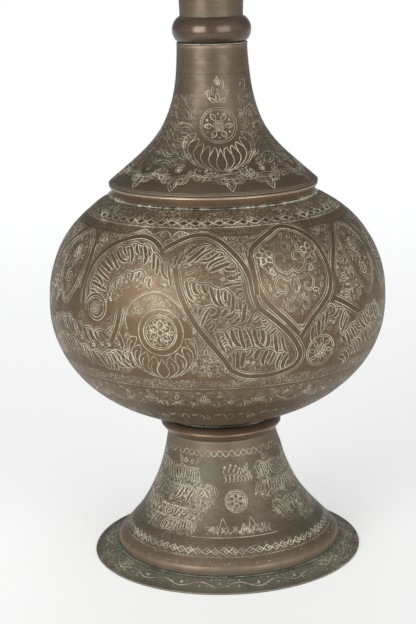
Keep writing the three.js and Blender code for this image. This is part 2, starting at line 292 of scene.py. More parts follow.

# Graver's cuts: "cut" is 1 along the middle of a cut and below 0.2 at its edges. The middle holds
# pale dust, its edges are dark with dirt and painted shade of the groove walls, and both are worn away in
# patches.
# Where "ground" is 1, short scratches cover the sheet, which is darkened towards the same edge colour: they lie
# where a noise crosses its middle value.
def makeCutLines():
    group, given = newGroup("cutLines", [
        ("Color", "Color", (0.2, 0.2, 0.2)), ("Dust", "Color", (0.5, 0.5, 0.4)),
        ("EdgeDirtShade", "Color", (0.1, 0.08, 0.05)), ("Metallic", "Float", 0.8), ("Roughness", "Float", 0.4)],
        [("Color", "Color"), ("Metallic", "Float"), ("Roughness", "Float")])
    cut, ground = attribute(group, "cut"), attribute(group, "ground")
    worn = ranged(group, noise(group, *metalNoise["worn"]), 0.38, 0.6, 0.4, 1.0)
    grain = ranged(group, noise(group, *metalNoise["grain"]), 0.3, 0.62, 0.6, 1.0)
    edge = times(group, ranged(group, cut, 0.02, 0.16), cutShares["edge"])
    color = mixed(group, edge, given["Color"], given["EdgeDirtShade"])
    dust = times(group, ranged(group, cut, 0.3, 0.62), times(group, worn, grain))
    scratches = 0.0
    for key in ("scratch", "crossScratch"):
        away = math(group, "ABSOLUTE", math(group, "SUBTRACT", noise(group, *metalNoise[key]), 0.5))
        scratches = math(group, "MAXIMUM", scratches, ranged(group, away, *cutShares["scratchWidth"], 1, 0))
    scratches = times(group, times(group, scratches, ground), times(group, worn, grain))
    color = mixed(group, times(group, ground, cutShares["groundEdge"]), color, given["EdgeDirtShade"])
    dust = math(group, "MAXIMUM", dust, times(group, scratches, cutShares["scratches"]))
    color = mixed(group, dust, color, given["Dust"])
    bare = math(group, "SUBTRACT", 1.0, times(group, dust, cutShares["dull"]))
    return putOut(group, Color=color, Metallic=times(group, given["Metallic"], bare),
        Roughness=plus(group, given["Roughness"], times(group, dust, cutShares["rough"])))

agedMetal, cutLines = makeAgedMetal(), makeCutLines()

# Looks of each finish: linear colours of the metal, its stains, its rubbed places and painted highlights, and
# green, then how much it is stained, greened and streaked, and how rough, metallic and coated it is
lookKeys = ("metal", "stain", "rubbedsheen", "green", "stains", "greening", "streaks", "gloss", "metallic", "coat")
finishLooks = dict(
    brownBrass=((0.148, 0.092, 0.047), (0.083, 0.053, 0.027), (0.31, 0.235, 0.17), (0.12, 0.115, 0.074),
        0.6, 0.3, 0.14, 0.46, 0.72, 0.14),
    neckBrass=((0.135, 0.095, 0.059), (0.08, 0.056, 0.035), (0.33, 0.225, 0.145), (0.12, 0.12, 0.084),
        0.6, 0.25, 0.18, 0.4, 0.65, 0.1),
    duskyBrass=((0.108, 0.08, 0.047), (0.074, 0.06, 0.039), (0.23, 0.15, 0.094), (0.132, 0.135, 0.095),
        0.6, 0.6, 0.12, 0.46, 0.5, 0.1),
    litBrass=((0.31, 0.185, 0.098), (0.115, 0.068, 0.037), (0.6, 0.45, 0.32), (0.12, 0.13, 0.1),
        0.6, 0.12, 0.3, 0.3, 0.75, 0.2),
    greenedBrass=((0.19, 0.167, 0.125), (0.09, 0.087, 0.068), (0.2, 0.175, 0.13), (0.175, 0.188, 0.15),
        0.85, 0.7, 0.12, 0.55, 0.4, 0.0),
    warmCopper=((0.15, 0.092, 0.055), (0.085, 0.056, 0.035), (0.24, 0.15, 0.09), (0.11, 0.11, 0.08),
        0.5, 0.3, 0.2, 0.36, 0.65, 0.2),
    redCopper=((0.08, 0.046, 0.025), (0.038, 0.023, 0.014), (0.16, 0.1, 0.06), (0.1, 0.1, 0.075),
        0.6, 0.25, 0.2, 0.27, 0.75, 0.6))
# The edge colour of cuts is dark with dirt and painted shade of the groove walls; dust fills their middles.
allMetals = dict(dust=(0.59, 0.55, 0.405), edge=(0.075, 0.06, 0.042), coatSharper=0.6, bump=(0.25, 0.0004))

def principled(name):
    material = bpy.data.materials.new(name)
    material.use_nodes = True
    return material, material.node_tree, material.node_tree.nodes["Principled BSDF"]

# A height bends the light on the surface by a Bump node.
def bumped(tree, shader, height, strength, distance):
    bump = node(tree, "Bump", {"Height": height, "Strength": strength, "Distance": distance})
    tree.links.new(bump.outputs[0], shader.inputs["Normal"])

def makeMetal(name, values):
    material, tree, shader = principled(name)
    look = dict(zip(lookKeys, values))
    inputs = {key.title(): (*look[key], 1) for key in ("metal", "stain", "rubbedsheen", "green")}
    inputs.update({key.title(): look[key] for key in ("stains", "greening", "streaks", "gloss")})
    aged = node(tree, "Group", node_tree=agedMetal)
    for key, value in inputs.items():
        aged.inputs[key].default_value = value
    cuts = node(tree, "Group", node_tree=cutLines)
    cuts.inputs["Metallic"].default_value = look["metallic"]
    cuts.inputs["Dust"].default_value = (*allMetals["dust"], 1)
    cuts.inputs["EdgeDirtShade"].default_value = (*allMetals["edge"], 1)
    tree.links.new(aged.outputs["Color"], cuts.inputs["Color"])
    tree.links.new(aged.outputs["Roughness"], cuts.inputs["Roughness"])
    for made, taken in (("Color", "Base Color"), ("Metallic", "Metallic"), ("Roughness", "Roughness")):
        tree.links.new(cuts.outputs[made], shader.inputs[taken])
    shader.inputs["Coat Weight"].default_value = look["coat"]
    shader.inputs["Coat Roughness"].default_value = look["gloss"] * allMetals["coatSharper"]
    bumped(tree, shader, aged.outputs["Height"], *allMetals["bump"])
    return material

solderNoise = dict(grain=((420, 420, 420), 4, 0.65), patch=((60, 60, 60), 3, 0.6, (8, 1, 5)),
    spots=((95, 95, 130), 4, 0.6, (2, 4, 6)))

# Solder: two greys and a green in patches, dull and grainy.
def makeSolder(name, light, dark, green, greening):
    material, tree, shader = principled(name)
    grain, patch, spots = (noise(tree, *solderNoise[key]) for key in ("grain", "patch", "spots"))
    pale = times(tree, ranged(tree, grain, 0.36, 0.6), ranged(tree, patch, 0.4, 0.56))
    color = mixed(tree, pale, (*dark, 1), (*light, 1))
    spotted = times(tree, ranged(tree, spots, 0.46, 0.62), greening)
    tree.links.new(mixed(tree, spotted, color, (*green, 1)), shader.inputs["Base Color"])
    tree.links.new(ranged(tree, grain, 0.3, 0.7, 0.55, 0.8), shader.inputs["Roughness"])
    shader.inputs["Metallic"].default_value = 0.35
    bumped(tree, shader, grain, 0.5, 0.0006)
    return material

# Iron wire: dull grey metal with rust-brown patches.
def makeWireFinish():
    material, tree, shader = principled("ironWire")
    rust = ranged(tree, noise(tree, (200, 200, 200), 5, 0.7), 0.4, 0.66)
    color = mixed(tree, rust, (0.11, 0.1, 0.09, 1), (0.10, 0.05, 0.03, 1))
    tree.links.new(color, shader.inputs["Base Color"])
    tree.links.new(ranged(tree, rust, 0, 1, 0.4, 0.75), shader.inputs["Roughness"])
    shader.inputs["Metallic"].default_value = 0.75
    bumped(tree, shader, rust, 0.3, 0.0003)
    return material

finishes = {name: makeMetal(name, look) for name, look in finishLooks.items()}
paleSolder = makeSolder("paleSolder", (0.56, 0.55, 0.46), (0.19, 0.175, 0.13), (0.4, 0.46, 0.37), 0.5)
dullSolder = makeSolder("dullSolder", (0.24, 0.25, 0.195), (0.09, 0.09, 0.07), (0.19, 0.23, 0.17), 0.7)
darkSolder = makeSolder("darkSolder", (0.12, 0.125, 0.095), (0.035, 0.035, 0.028), (0.14, 0.19, 0.14), 0.8)
ironWire = makeWireFinish()
print("finishes made")


# Profiles: rows of (distance from the axis, height)

# Rounded corners: a quadratic curve cuts each one off at a reach on both sides. A reach of 0
# leaves the point as it is.
def rounded(points, reach, steps=5):
    p = np.asarray(points, float)
    reach = np.broadcast_to(reach, len(p)).astype(float)
    ends = []
    for other in (np.roll(p, 1, 0), np.roll(p, -1, 0)):
        away = other - p
        length = np.hypot(*away.T)
        ends.append(p + away * (np.minimum(reach, length * 0.45) / np.maximum(length, 1e-6))[:, None])
    t = np.linspace(0, 1, steps + 1)[:, None, None]
    curve = arched(t, ends[0], p, ends[1]).transpose(1, 0, 2)
    kept = np.ones(curve.shape[:2], bool)
    kept[reach == 0, 1:] = False
    return curve[kept]

# The direction of a lean towards the axis, in degrees from upright.
def heading(lean):
    return np.array([-np.sin(rad(lean)), np.cos(rad(lean))])

# A cubic curve that leaves its start and reaches its end with given leans and pulls.
def sweep(start, end, startLean, endLean, startPull, endPull, steps):
    start, end = np.array(start, float), np.array(end, float)
    first = start + heading(startLean) * startPull
    last = end - heading(endLean) * endPull
    t = np.linspace(0, 1, steps + 1)[:, None]
    return (1 - t)**3 * start + 3 * (1 - t)**2 * t * first + 3 * (1 - t) * t**2 * last + t**3 * end

# The inner face of a sheet: the path moved to its left by the thickness.
def otherFace(path, thickness):
    along = unit(np.gradient(path, axis=0))
    moved = path + np.stack([-along[:, 1], along[:, 0]], 1) * thickness
    moved[:, 0] = np.maximum(moved[:, 0], 0)
    return moved

# A sheet's whole profile: up the outer face and down the inner face, with eased edges.
def sheetProfile(path, thickness, innerEvery):
    inner = otherFace(path, thickness)[::-1]
    inner = np.vstack([inner[:1], inner[1:-1:innerEvery], inner[-1:]])
    profile = np.vstack([path, inner])
    reach = np.zeros(len(profile))
    reach[[len(path) - 1, len(path)]] = thickness * 0.3
    if path[0, 0] > 0.01:
        reach[[0, -1]] = thickness * 0.3
    return rounded(profile, reach, 3)

# Where two pieces meet, dirt and green gather: (distance from the axis, height) of each seam
seams = np.array([(81.2, 5.9), (80.6, 7), (40.6, 90.8), (41, 100.4), (39, 103.5), (71.8, 262.2),
    (70.8, 263.2), (73.2, 270.7), (25.2, 366.6), (24.6, 367.4), (22.8, 385.2)])

# Where hands and cloths have rubbed, and where highlights are painted: degrees and their spread, height and its
# spread, and strength
# Rows at 13 and 270.2 mm are painted highlights, on the foot's shoulder and along the band's top edge and the
# bell's lip; the row at -21 degrees is partly wear and partly a painted highlight on the bulb's left; the row
# at 88.5 mm is rubbed metal round the collar.
rubbedAndLit = np.array([(0, 9999, 88.5, 7, 0.5), (0, 9999, 13, 5, 0.5), (0, 9999, 270.2, 0.8, 0.95),
    (-21, 13, 222, 16, 0.15)])
wear = dict(edgeReach=1.1, edgeBend=0.9, grimeReach=3.2, grimeFall=1.3)
outerShare = 0.8  # of the map's height, for the outer face

# A profile turned about the axis: point (row, column) is the profile's row at the column's angle.
# Rows at the axis are one point. The rubbed value sums the outward bends near a row, which are worn edges, and
# the rows of rubbed places and painted highlights, "grime" is exp(-(d / reach)^fall) with d the distance to the
# nearest seam, and "ground" is how much the outer face is scratched.
def turned(name, profile, sides, outerRows=None, swell=None, ground=None):
    p = np.asarray(profile, float)
    poled, rows = p[0, 0] < 0.01, len(p)
    outerRows = outerRows or rows
    turn = np.linspace(0, 2 * np.pi, sides, endpoint=False)
    grid = np.broadcast_to(p[:, None], (rows, sides, 2))
    if swell is not None:
        grid = p.mean(0) + (grid - p.mean(0)) * swell(turn)[..., None]
    points = placed(np.broadcast_to(turn, (rows, sides)), grid[..., 0], grid[..., 1])

    before, after = p - np.roll(p, 1, 0), np.roll(p, -1, 0) - p
    bend = np.arctan2(before[:, 0] * after[:, 1] - before[:, 1] * after[:, 0], (before * after).sum(1))
    apart = np.hypot(*(p[:, None] - p[None]).transpose(2, 0, 1))
    edge = (np.maximum(bend, 0) * np.exp(-(apart / wear["edgeReach"])**2)).sum(1) / wear["edgeBend"]
    across = (np.degrees(turn)[:, None] - rubbedAndLit[:, 0] + 180) % 360 - 180
    near = np.exp(-((p[:, 1:] - rubbedAndLit[:, 2]) / rubbedAndLit[:, 3])**2) * rubbedAndLit[:, 4]
    rubAndSheen = np.clip(edge[:, None] + near @ np.exp(-(across / rubbedAndLit[:, 1])**2).T, 0, 1)
    seamAway = np.hypot(*(p[:, None] - seams[None]).transpose(2, 0, 1)).min(1)
    grime = np.exp(-(seamAway / wear["grimeReach"])**wear["grimeFall"])
    numbers = dict(rubAndSheen=rubAndSheen.ravel(), grime=np.repeat(grime, sides))
    if ground:
        outer = ground(np.tile(turn, outerRows), np.repeat(p[:outerRows, 1], sides))
        numbers["ground"] = np.r_[outer, np.zeros((rows - outerRows) * sides)]

    run = runOf(np.vstack([p, p[:1]]))
    turnback = run[outerRows - 1]
    inner = (1 - outerShare) * (run - turnback) / max(run[-1] - turnback, 1e-6)
    share = np.where(run <= turnback, outerShare * run / turnback, outerShare + inner)
    i, j = np.arange(rows - 1 if poled else rows)[:, None], np.arange(sides)[None]
    above, beside = (i + 1) % rows * sides, (j + 1) % sides
    quads = np.stack([i * sides + j, i * sides + beside, above + beside, above + j], -1).reshape(-1, 4)
    low, high = share[i] + 0 * j, share[i + 1] + 0 * j
    left, right = 0 * i + j / sides, 0 * i + (j + 1) / sides
    corners = np.stack([left, low, right, low, right, high, left, high], -1).reshape(-1, 4, 2)
    if not poled:
        return meshOf(name, points.reshape(-1, 3), [quads], numbers, corners)

    last = (rows - 1) * sides
    quads[quads < sides] = 0
    quads[quads >= last] = last
    kept = np.r_[0, np.arange(sides, last + 1)]
    number = np.zeros(last + 1, int)
    number[kept] = np.arange(len(kept))
    foot, top = [0, 2, 3], [0, 1, 2]  # corners of the triangles at the two poles
    groups = [number[quads[sides:-sides]], number[quads[:sides][:, foot]], number[quads[-sides:][:, top]]]
    corners = [corners[sides:-sides], corners[:sides][:, foot], corners[-sides:][:, top]]
    corners = np.concatenate([c.reshape(-1, 2) for c in corners])
    numbers = {key: values[kept] for key, values in numbers.items()}
    return meshOf(name, points.reshape(-1, 3)[kept], groups, numbers, corners)

# A piece of sheet from its outer face.
def makeSheet(name, size, path, finish, node, ground=None):
    profile = sheetProfile(path, size["sheet"], size["innerEvery"])
    settle(turned(name, profile, size["sides"], len(path), ground=ground), finishes[finish], node)

# How much a solder seam swells round its ring: seeded bumps, each size exp(-(a / width)^2), on a
# slow wave. "broad" makes it thinner in front and behind than at the sides.
def lumpy(seed, bumps, height, broad=0.0):
    dice = np.random.default_rng(seed)
    place, size = dice.uniform(0, 2 * np.pi, bumps), dice.random(bumps)**2 * height
    width = rad(dice.uniform(0.4, 1.6, bumps))
    def swell(turn):
        apart = np.abs((turn[:, None] - place + np.pi) % (2 * np.pi) - np.pi)
        slow = 0.15 * np.sin(3 * turn + seed) - broad * np.cos(2 * turn)
        return 0.8 + slow + (size * np.exp(-(apart / width)**2)).max(1)
    return swell

# Section of a ring of wire or solder: the ellipse (w cos t, h sin t) about its middle.
def ovalSection(middle, half, corners=14):
    t = np.linspace(0, 2 * np.pi, corners, endpoint=False) - np.pi / 2
    return np.stack([middle[0] + half[0] * np.cos(t), middle[1] + half[1] * np.sin(t)], 1)

# A ring of solder: that ellipse, swollen by its lumps.
def makeSeam(name, size, finish, node, seed):
    section = ovalSection(size["middle"], size["section"])
    swell = lumpy(seed, size["bumps"], size["height"], size.get("broad", 0))
    settle(turned(name, section, size["sides"], swell=swell), finish, node)


# Foot: brim on the table, seam, pedestal, collar and the solder under the bulb

brim = dict(sheet=1.4, seatInner=71.9, seatOuter=81.6, rise=4.2, landStart=94.1, sides=288,
    corners=(0.3, 4, 4, 0.55, 0.55, 4, 4, 0.3))

# A flat seat, a slope and a flat edge: four corners below, and the same raised by the sheet above.
def makeBrim(ground):
    radius = nodeSpan("foot_brim")[0]
    below = np.array([(brim["seatInner"], brim["rise"]), (brim["seatOuter"], brim["rise"]),
        (brim["landStart"], 0), (radius, 0)], float)
    above = (below + (0, brim["sheet"]))[::-1]
    profile = rounded(np.vstack([below, above]), brim["corners"], 8)
    piece = turned("foot_brim_sheet", profile, brim["sides"], ground=ground)
    settle(piece, finishes["greenedBrass"], "foot_brim")

brimSeam = dict(section=(0.75, 0.62), middle=(80.75, 6.25), bumps=150, height=0.55, sides=720)

pedestal = dict(sheet=1.4, radius=80.4, shoulderHeight=7, shoulderInset=1.8, shoulderSwell=0.8,
    shoulderFull=0.7, flankLean=40.2, flankPull=9.5, waistRadius=39.5, waistLean=6.7,
    waistPull=50, steps=64, innerEvery=2, sides=288)

# The outer face: a short quadratic shoulder, then a cubic curve up to the waist.
def pedestalPath():
    _, low, high = nodeSpan("foot_pedestal")
    r, up = pedestal["radius"], pedestal["shoulderHeight"]
    top = np.array([r - pedestal["shoulderInset"], low + up])
    control = np.array([r + pedestal["shoulderSwell"], low + up * pedestal["shoulderFull"]])
    shoulder = arched(np.linspace(0, 1, 14)[:, None], np.array([r, low]), control, top)
    flank = sweep(top, (pedestal["waistRadius"], high), pedestal["flankLean"], pedestal["waistLean"],
        pedestal["flankPull"], pedestal["waistPull"], pedestal["steps"])
    return np.vstack([shoulder, flank[1:]])

collar = dict(wall=1.7, foot=0.9, top=1.1, edge=0.9, rise=5, spigot=6, play=0.3, sides=240,
    corners=(0.3, 0, 0.5, 0.6, 0.6, 1.5, 0.6, 0.3, 0.3))

# The spigot inside, a step, a round edge and a cove up to the bulb: nine corners, each rounded.
def makeCollar():
    edgeRadius, low, high = nodeSpan("foot_collar")
    waist = pedestal["waistRadius"]
    spigot = waist - pedestal["sheet"] - collar["play"]
    bore, base, topRadius = spigot - collar["wall"], low + collar["spigot"], waist + collar["top"]
    edge, half = base + collar["rise"], collar["edge"] / 2
    cove = ((edgeRadius + topRadius) / 2, (edge + high) / 2 + collar["edge"])
    profile = [(spigot, low), (spigot, base), (waist + collar["foot"], base), (edgeRadius, edge - half),
        (edgeRadius, edge + half), cove, (topRadius, high), (bore, high), (bore, low)]
    piece = turned("foot_collar_moulding", rounded(profile, collar["corners"], 6), collar["sides"])
    settle(piece, finishes["warmCopper"], "foot_collar")

footSolder = dict(section=(2.1, 1.35), middle=(39.0, 101.9), bumps=90, height=0.4, sides=480)


# Bulb: one raised sheet, closed below and open above, and the solder and band that stand on it

bulb = dict(sheet=1.4, lowerDepth=87.9, lowerFullness=2.13, upperDepth=91.4, upperFullness=2.21,
    landingRadius=83, landingRise=4.3, seatOuter=72.3, openingRadius=66, lowerSteps=60,
    upperSteps=48, riseSteps=12, innerEvery=3, sides=320)

# The outer face: two superellipses, (r / R)^n + (z / depth)^n = 1, below and above the widest ring,
# then a quadratic rise to the flat seat of the band.
def bulbPath():
    radius, bottom, top = nodeSpan("body_bulb")
    centre, full, depth, landing = (bottom + bulb["lowerDepth"], bulb["upperFullness"],
        bulb["upperDepth"], bulb["landingRadius"])
    low = np.linspace(np.pi / 2, 0, bulb["lowerSteps"] + 1)[:-1]
    power = 2 / bulb["lowerFullness"]
    lower = np.stack([radius * np.cos(low)**power, centre - bulb["lowerDepth"] * np.sin(low)**power], 1)
    lower[0, 0] = 0
    share = landing / radius
    high = np.linspace(0, np.arccos(share**(full / 2)), bulb["upperSteps"] + 1)
    upper = np.stack([radius * np.cos(high)**(2 / full), centre + depth * np.sin(high)**(2 / full)], 1)
    slope = depth / radius * share**(full - 1) * (1 - share**full)**(1 / full - 1)
    control = np.array([landing - bulb["landingRise"] / slope, top])
    t = np.linspace(0, 1, bulb["riseSteps"] + 1)[1:, None]
    rise = arched(t, upper[-1], control, np.array([bulb["seatOuter"], top]))
    return np.vstack([lower, upper, rise, [(bulb["openingRadius"], top)]])

shoulderSeam = dict(section=(1.15, 0.8), middle=(71.1, 262.35), bumps=160, height=1.5, broad=0.6, sides=900)

band = dict(sheet=1.6, foot=70.3, flange=2.9, ridge=0.42, ridgeDrop=1.6, ridgeWide=0.6, rows=23, sides=288,
    footCorners=(0.3, 0.5), topCorners=(0.3, 0.3, 0.4, 0.5, 0.3))

# How much the band widens for each millimetre of height.
def bandFlare():
    topRadius, low, high = nodeSpan("shoulder_band")
    return (topRadius - band["foot"]) / (high - low)

# The outer face is a cone with a line raised near its top by ridge exp(-((z - line) / wide)^2).
def makeBand():
    topRadius, low, high = nodeSpan("shoulder_band")
    sheet, foot, inner, flare = band["sheet"], band["foot"], band["foot"] - band["flange"], bandFlare()
    z = np.linspace(low + 1, high - sheet / 4, band["rows"] + 1)[:-1]
    raised = band["ridge"] * np.exp(-((z - high + band["ridgeDrop"]) / band["ridgeWide"])**2)
    outer = np.stack([foot + flare * (z - low) + raised, z], 1)
    top = [(topRadius, high - sheet / 4), (topRadius - sheet / 4, high), (topRadius - sheet, high),
        (foot + flare * sheet - sheet, low + sheet), (inner, low + sheet)]
    profile = np.vstack([[(inner, low), (foot, low)], outer, top])
    reach = np.concatenate([band["footCorners"], np.zeros(len(outer)), band["topCorners"]])
    piece = turned("shoulder_band_strip", rounded(profile, reach, 5), band["sides"])
    settle(piece, finishes["litBrass"], "shoulder_band")


# Neck: bell, seam, bead, upper neck and the wire in its mouth

bell = dict(sheet=1.4, lipHeight=1.9, lipInset=1.5, lean=48.9, pull=37.3, topRadius=24.82, topLean=0.6,
    topPull=60.4, skirt=5, skirtInset=1.9, steps=72, sides=288, lipCorners=(0.3, 0, 0.4, 0.5, 0.6),
    topCorner=0.35)

# The bell's outer face: a cubic curve from the lip, steeper and steeper up to its top.
def bellCone():
    lip, low, high = nodeSpan("neck_bell")
    start = (lip - bell["lipInset"], low + bell["skirt"] + bell["lipHeight"])
    return sweep(start, (bell["topRadius"], high), bell["lean"], bell["topLean"], bell["pull"],
        bell["topPull"], bell["steps"])

# The skirt follows the band's flare inside it, and the lip and the cone stand over it. The inner face is
# the cone moved inwards by the sheet.
def makeBell(ground):
    lip, low, _ = nodeSpan("neck_bell")
    bandTop, _, bandHigh = nodeSpan("shoulder_band")
    cone, sheet, foot, flare = bellCone(), bell["sheet"], low + bell["skirt"], bandFlare()
    skirtTop = bandTop + flare * (foot - bandHigh) - bell["skirtInset"]
    skirtFoot = skirtTop - flare * bell["skirt"]
    outside = [(skirtFoot, low), (skirtTop, foot), (lip - bell["lipHeight"] / 4, foot),
        (lip, foot + bell["lipHeight"] / 3)]
    inside = otherFace(cone, sheet)[:0:-2]
    profile = np.vstack([outside, cone, inside, [(skirtTop - sheet, foot), (skirtFoot - sheet, low)]])
    reach = np.zeros(len(profile))
    reach[:5] = bell["lipCorners"]
    reach[[3 + len(cone), 4 + len(cone)]] = bell["topCorner"]
    reach[-1] = 0.3
    outerRows = len(cone) + 16  # the rounded lip has 16 rows
    piece = turned("neck_bell_sheet", rounded(profile, reach, 4), bell["sides"], outerRows, ground=ground)
    settle(piece, finishes["neckBrass"], "neck_bell")

neckSeam = dict(section=(0.55, 0.42), middle=(24.75, 366.72), bumps=60, height=0.5, sides=480)

bead = dict(sheet=1.2, bulge=4.7, fullness=1.5, lower=23.42, upper=22.85, steps=36, sides=240)

# One face of the bead: on a base that narrows upwards it bulges by cos(t)^1.5, with t from -90 to 90.
def beadFace(inset):
    _, low, high = nodeSpan("neck_bead")
    t = np.linspace(-0.5, 0.5, bead["steps"] + 1) * np.pi
    climb = (1 + np.sin(t)) / 2
    base = bead["lower"] + (bead["upper"] - bead["lower"]) * climb
    bulge = (bead["bulge"] - inset) * np.abs(np.cos(t))**bead["fullness"]
    return np.stack([base + bulge, low + inset + (high - low - 2 * inset) * climb], 1)

# A hollow ring between two such faces.
def makeBead():
    profile = np.vstack([beadFace(0), beadFace(bead["sheet"])[::-1]])
    piece = turned("neck_bead_ring", profile, bead["sides"], bead["steps"] + 1)
    settle(piece, finishes["redCopper"], "neck_bead")

upperNeck = dict(sheet=1.2, spigot=23.12, narrow=22.4, lean=-1.5, pull=55, mouthRadius=44, mouthLean=-50,
    mouthPull=22, narrowRise=1.4, rise=113.4, wire=1.6, gap=0.3, roll=260, rollSteps=24,
    wireCorners=16, steps=72, innerEvery=1, sides=240)
rollReach = upperNeck["wire"] + upperNeck["gap"]

# The middle of the wire, which lies against the outer face of the flare, and the mouth's height.
def wireMiddle():
    mouth = nodeSpan("neck_bead")[2] + upperNeck["narrowRise"] + upperNeck["rise"]
    out = heading(upperNeck["mouthLean"])
    return np.array([upperNeck["mouthRadius"] + out[1] * rollReach, mouth - out[0] * rollReach]), mouth

# The outer face: the spigot in the bell, a cubic flare to the mouth, and an arc round the wire.
def neckPath():
    low = nodeSpan("neck_trumpet")[1]
    _, beadLow, beadHigh = nodeSpan("neck_bead")
    middle, mouth = wireMiddle()
    spigot, narrow = upperNeck["spigot"], upperNeck["narrow"]
    flare = sweep((narrow, mouth - upperNeck["rise"]), (upperNeck["mouthRadius"], mouth), upperNeck["lean"],
        upperNeck["mouthLean"], upperNeck["pull"], upperNeck["mouthPull"], upperNeck["steps"])
    share = np.linspace(0, 1, upperNeck["rollSteps"] + 1)[1:]
    t = np.pi + rad(upperNeck["mouthLean"]) - rad(upperNeck["roll"]) * share
    half = ((spigot + narrow) / 2, (beadLow + beadHigh) / 2)
    return np.vstack([[(spigot, low), (spigot, beadLow), half], flare, middle + polar(rollReach, t)])

# A ring of round wire: a circle about the roll's middle.
def makeWire():
    section = ovalSection(wireMiddle()[0], (upperNeck["wire"],) * 2, upperNeck["wireCorners"])
    settle(turned("mouth_wire_ring", section, upperNeck["sides"]), ironWire, "mouth_wire")




# Pen work: flat paths of (across, up) points in millimetres, later bent onto the vase

# Even steps along a path: both coordinates are read off at equal arc lengths.
def evenSteps(path, step):
    path = np.asarray(path, float)
    run = runOf(path)
    marks = np.linspace(0, run[-1], max(int(round(run[-1] / step)), 2) + 1)
    return np.stack([np.interp(marks, run, path[:, k]) for k in (0, 1)], 1)

# A Hermite curve through points: each tangent is half the step between a point's neighbours.
def curveThrough(points, step=1.0):
    p = np.asarray(points, float)
    p = np.vstack([2 * p[0] - p[1], p, 2 * p[-1] - p[-2]])
    before, start, end, after = p[:-3], p[1:-2], p[2:-1], p[3:]
    t = np.linspace(0, 1, 14, endpoint=False)[:, None, None]
    dense = ((2 * t**3 - 3 * t**2 + 1) * start + (t**3 - 2 * t**2 + t) * (end - before) / 2
        + (3 * t**2 - 2 * t**3) * end + (t**3 - t**2) * (after - start) / 2)
    return evenSteps(np.vstack([dense.transpose(1, 0, 2).reshape(-1, 2), end[-1:]]), step)

# Paths mirrored by a flip of -1, turned leftwards and moved together.
def laid(paths, turn=0.0, move=(0, 0), flip=1):
    c, s = np.cos(rad(turn)), np.sin(rad(turn))
    return [(path * (flip, 1)) @ np.array([[c, s], [-s, c]]) + move for path in paths]

# Each path with its mirror image.
def bothSides(*paths):
    return [side for path in paths for side in (path, path * (-1, 1))]

# A place at a distance from the origin, its turn counted leftwards from straight up.
def at(reach, turn):
    return np.array([-reach * np.sin(rad(turn)), reach * np.cos(rad(turn))])

# Turns in degrees that share out one full turn.
def turnsOf(count, start=0):
    return [start + 360 * k / count for k in range(count)]

# A ring: the radius times (cos, sin) over one turn.
def ring(radius, step=0.9):
    return polar(radius, np.linspace(0, 2 * np.pi, max(int(2 * np.pi * radius / step), 7) + 1))

# A curl: the radius falls evenly from 1 to its inner share while the angle runs on.
def curl(radius, turns=1.6, inner=0.18, start=0.0, hand=1, step=0.75):
    t = np.linspace(0, 1, max(int(turns * 2 * np.pi * radius * 0.6 / step), 6))
    return polar(radius * (1 - (1 - inner) * t), rad(start) + hand * turns * 2 * np.pi * t)

# A leaf from the origin up: half width w sin(pi t^0.8) on a rib bent by length sin(pi t / 2)^2.
def leaf(length, width, bend=0.0, rib=True):
    t = np.linspace(0, 1, max(int(length / 0.8), 5))
    mid = np.stack([bend * np.sin(np.pi * t / 2)**2 * length, t * length], 1)
    side = np.stack([width / 2 * np.sin(np.pi * t**0.8), 0 * t], 1)
    return [np.vstack([mid + side, (mid - side)[::-1][1:]])] + ([mid[1:-2]] if rib and length > 4 else [])

# A curved cut like a comma: it bows by bend times its length times sin(pi t) - 0.4t.
def comma(length, bend=0.25, step=0.8):
    t = np.linspace(0, 1, max(int(length / step), 3))
    return np.stack([bend * length * (np.sin(np.pi * t) - 0.4 * t), t * length], 1)

# A trefoil from the origin down: two round side lobes and a pointed middle one.
def trefoil(size):
    lobe = [(0, 0), (-0.28, -0.1), (-0.62, 0.02), (-0.7, -0.32), (-0.42, -0.5), (-0.2, -0.42)]
    tip = [(-0.2, -0.42), (-0.34, -0.62), (-0.26, -0.86), (0, -1.3)]
    return bothSides(*(curveThrough(np.array(part) * size, 0.7) for part in (lobe, tip)))

# A palmette: leaves fanned about the vertical, longest in the middle.
def palmette(size, leaves, spread, wide=0.34):
    paths = []
    for lean in np.linspace(-spread / 2, spread / 2, leaves):
        length = size * (1 - 0.7 * abs(lean) / spread)
        paths += laid(leaf(length, size * wide, bend=0.12 * np.sign(lean)), lean)
    return paths

# A rosette: rings, petals round a small eye, and a dot between two petals.
def rosette(radius, petals=6, rings=(1.0, 0.88)):
    paths = [ring(radius * r) for r in rings] + [ring(radius * 0.17, 0.6)]
    for turn in turnsOf(petals):
        paths += laid(leaf(radius * 0.56, radius * 0.42, rib=radius > 8), turn, at(radius * 0.2, turn))
        paths.append(ring(radius * 0.11, 0.5) + at(radius * 0.66, turn + 180 / petals))
    return paths

# A crossing of two cuts, (w t, h t) and its mirror image, bowed apart by 0.25 (1 - t^2).
def crossing(wide, tall):
    half, t = np.array([wide / 2, tall / 2]), np.linspace(-1, 1, 7)[:, None]
    bow = np.hstack([0 * t, 0.25 * (1 - t * t)])
    return [t * half + bow, t * half * (-1, 1) - bow]

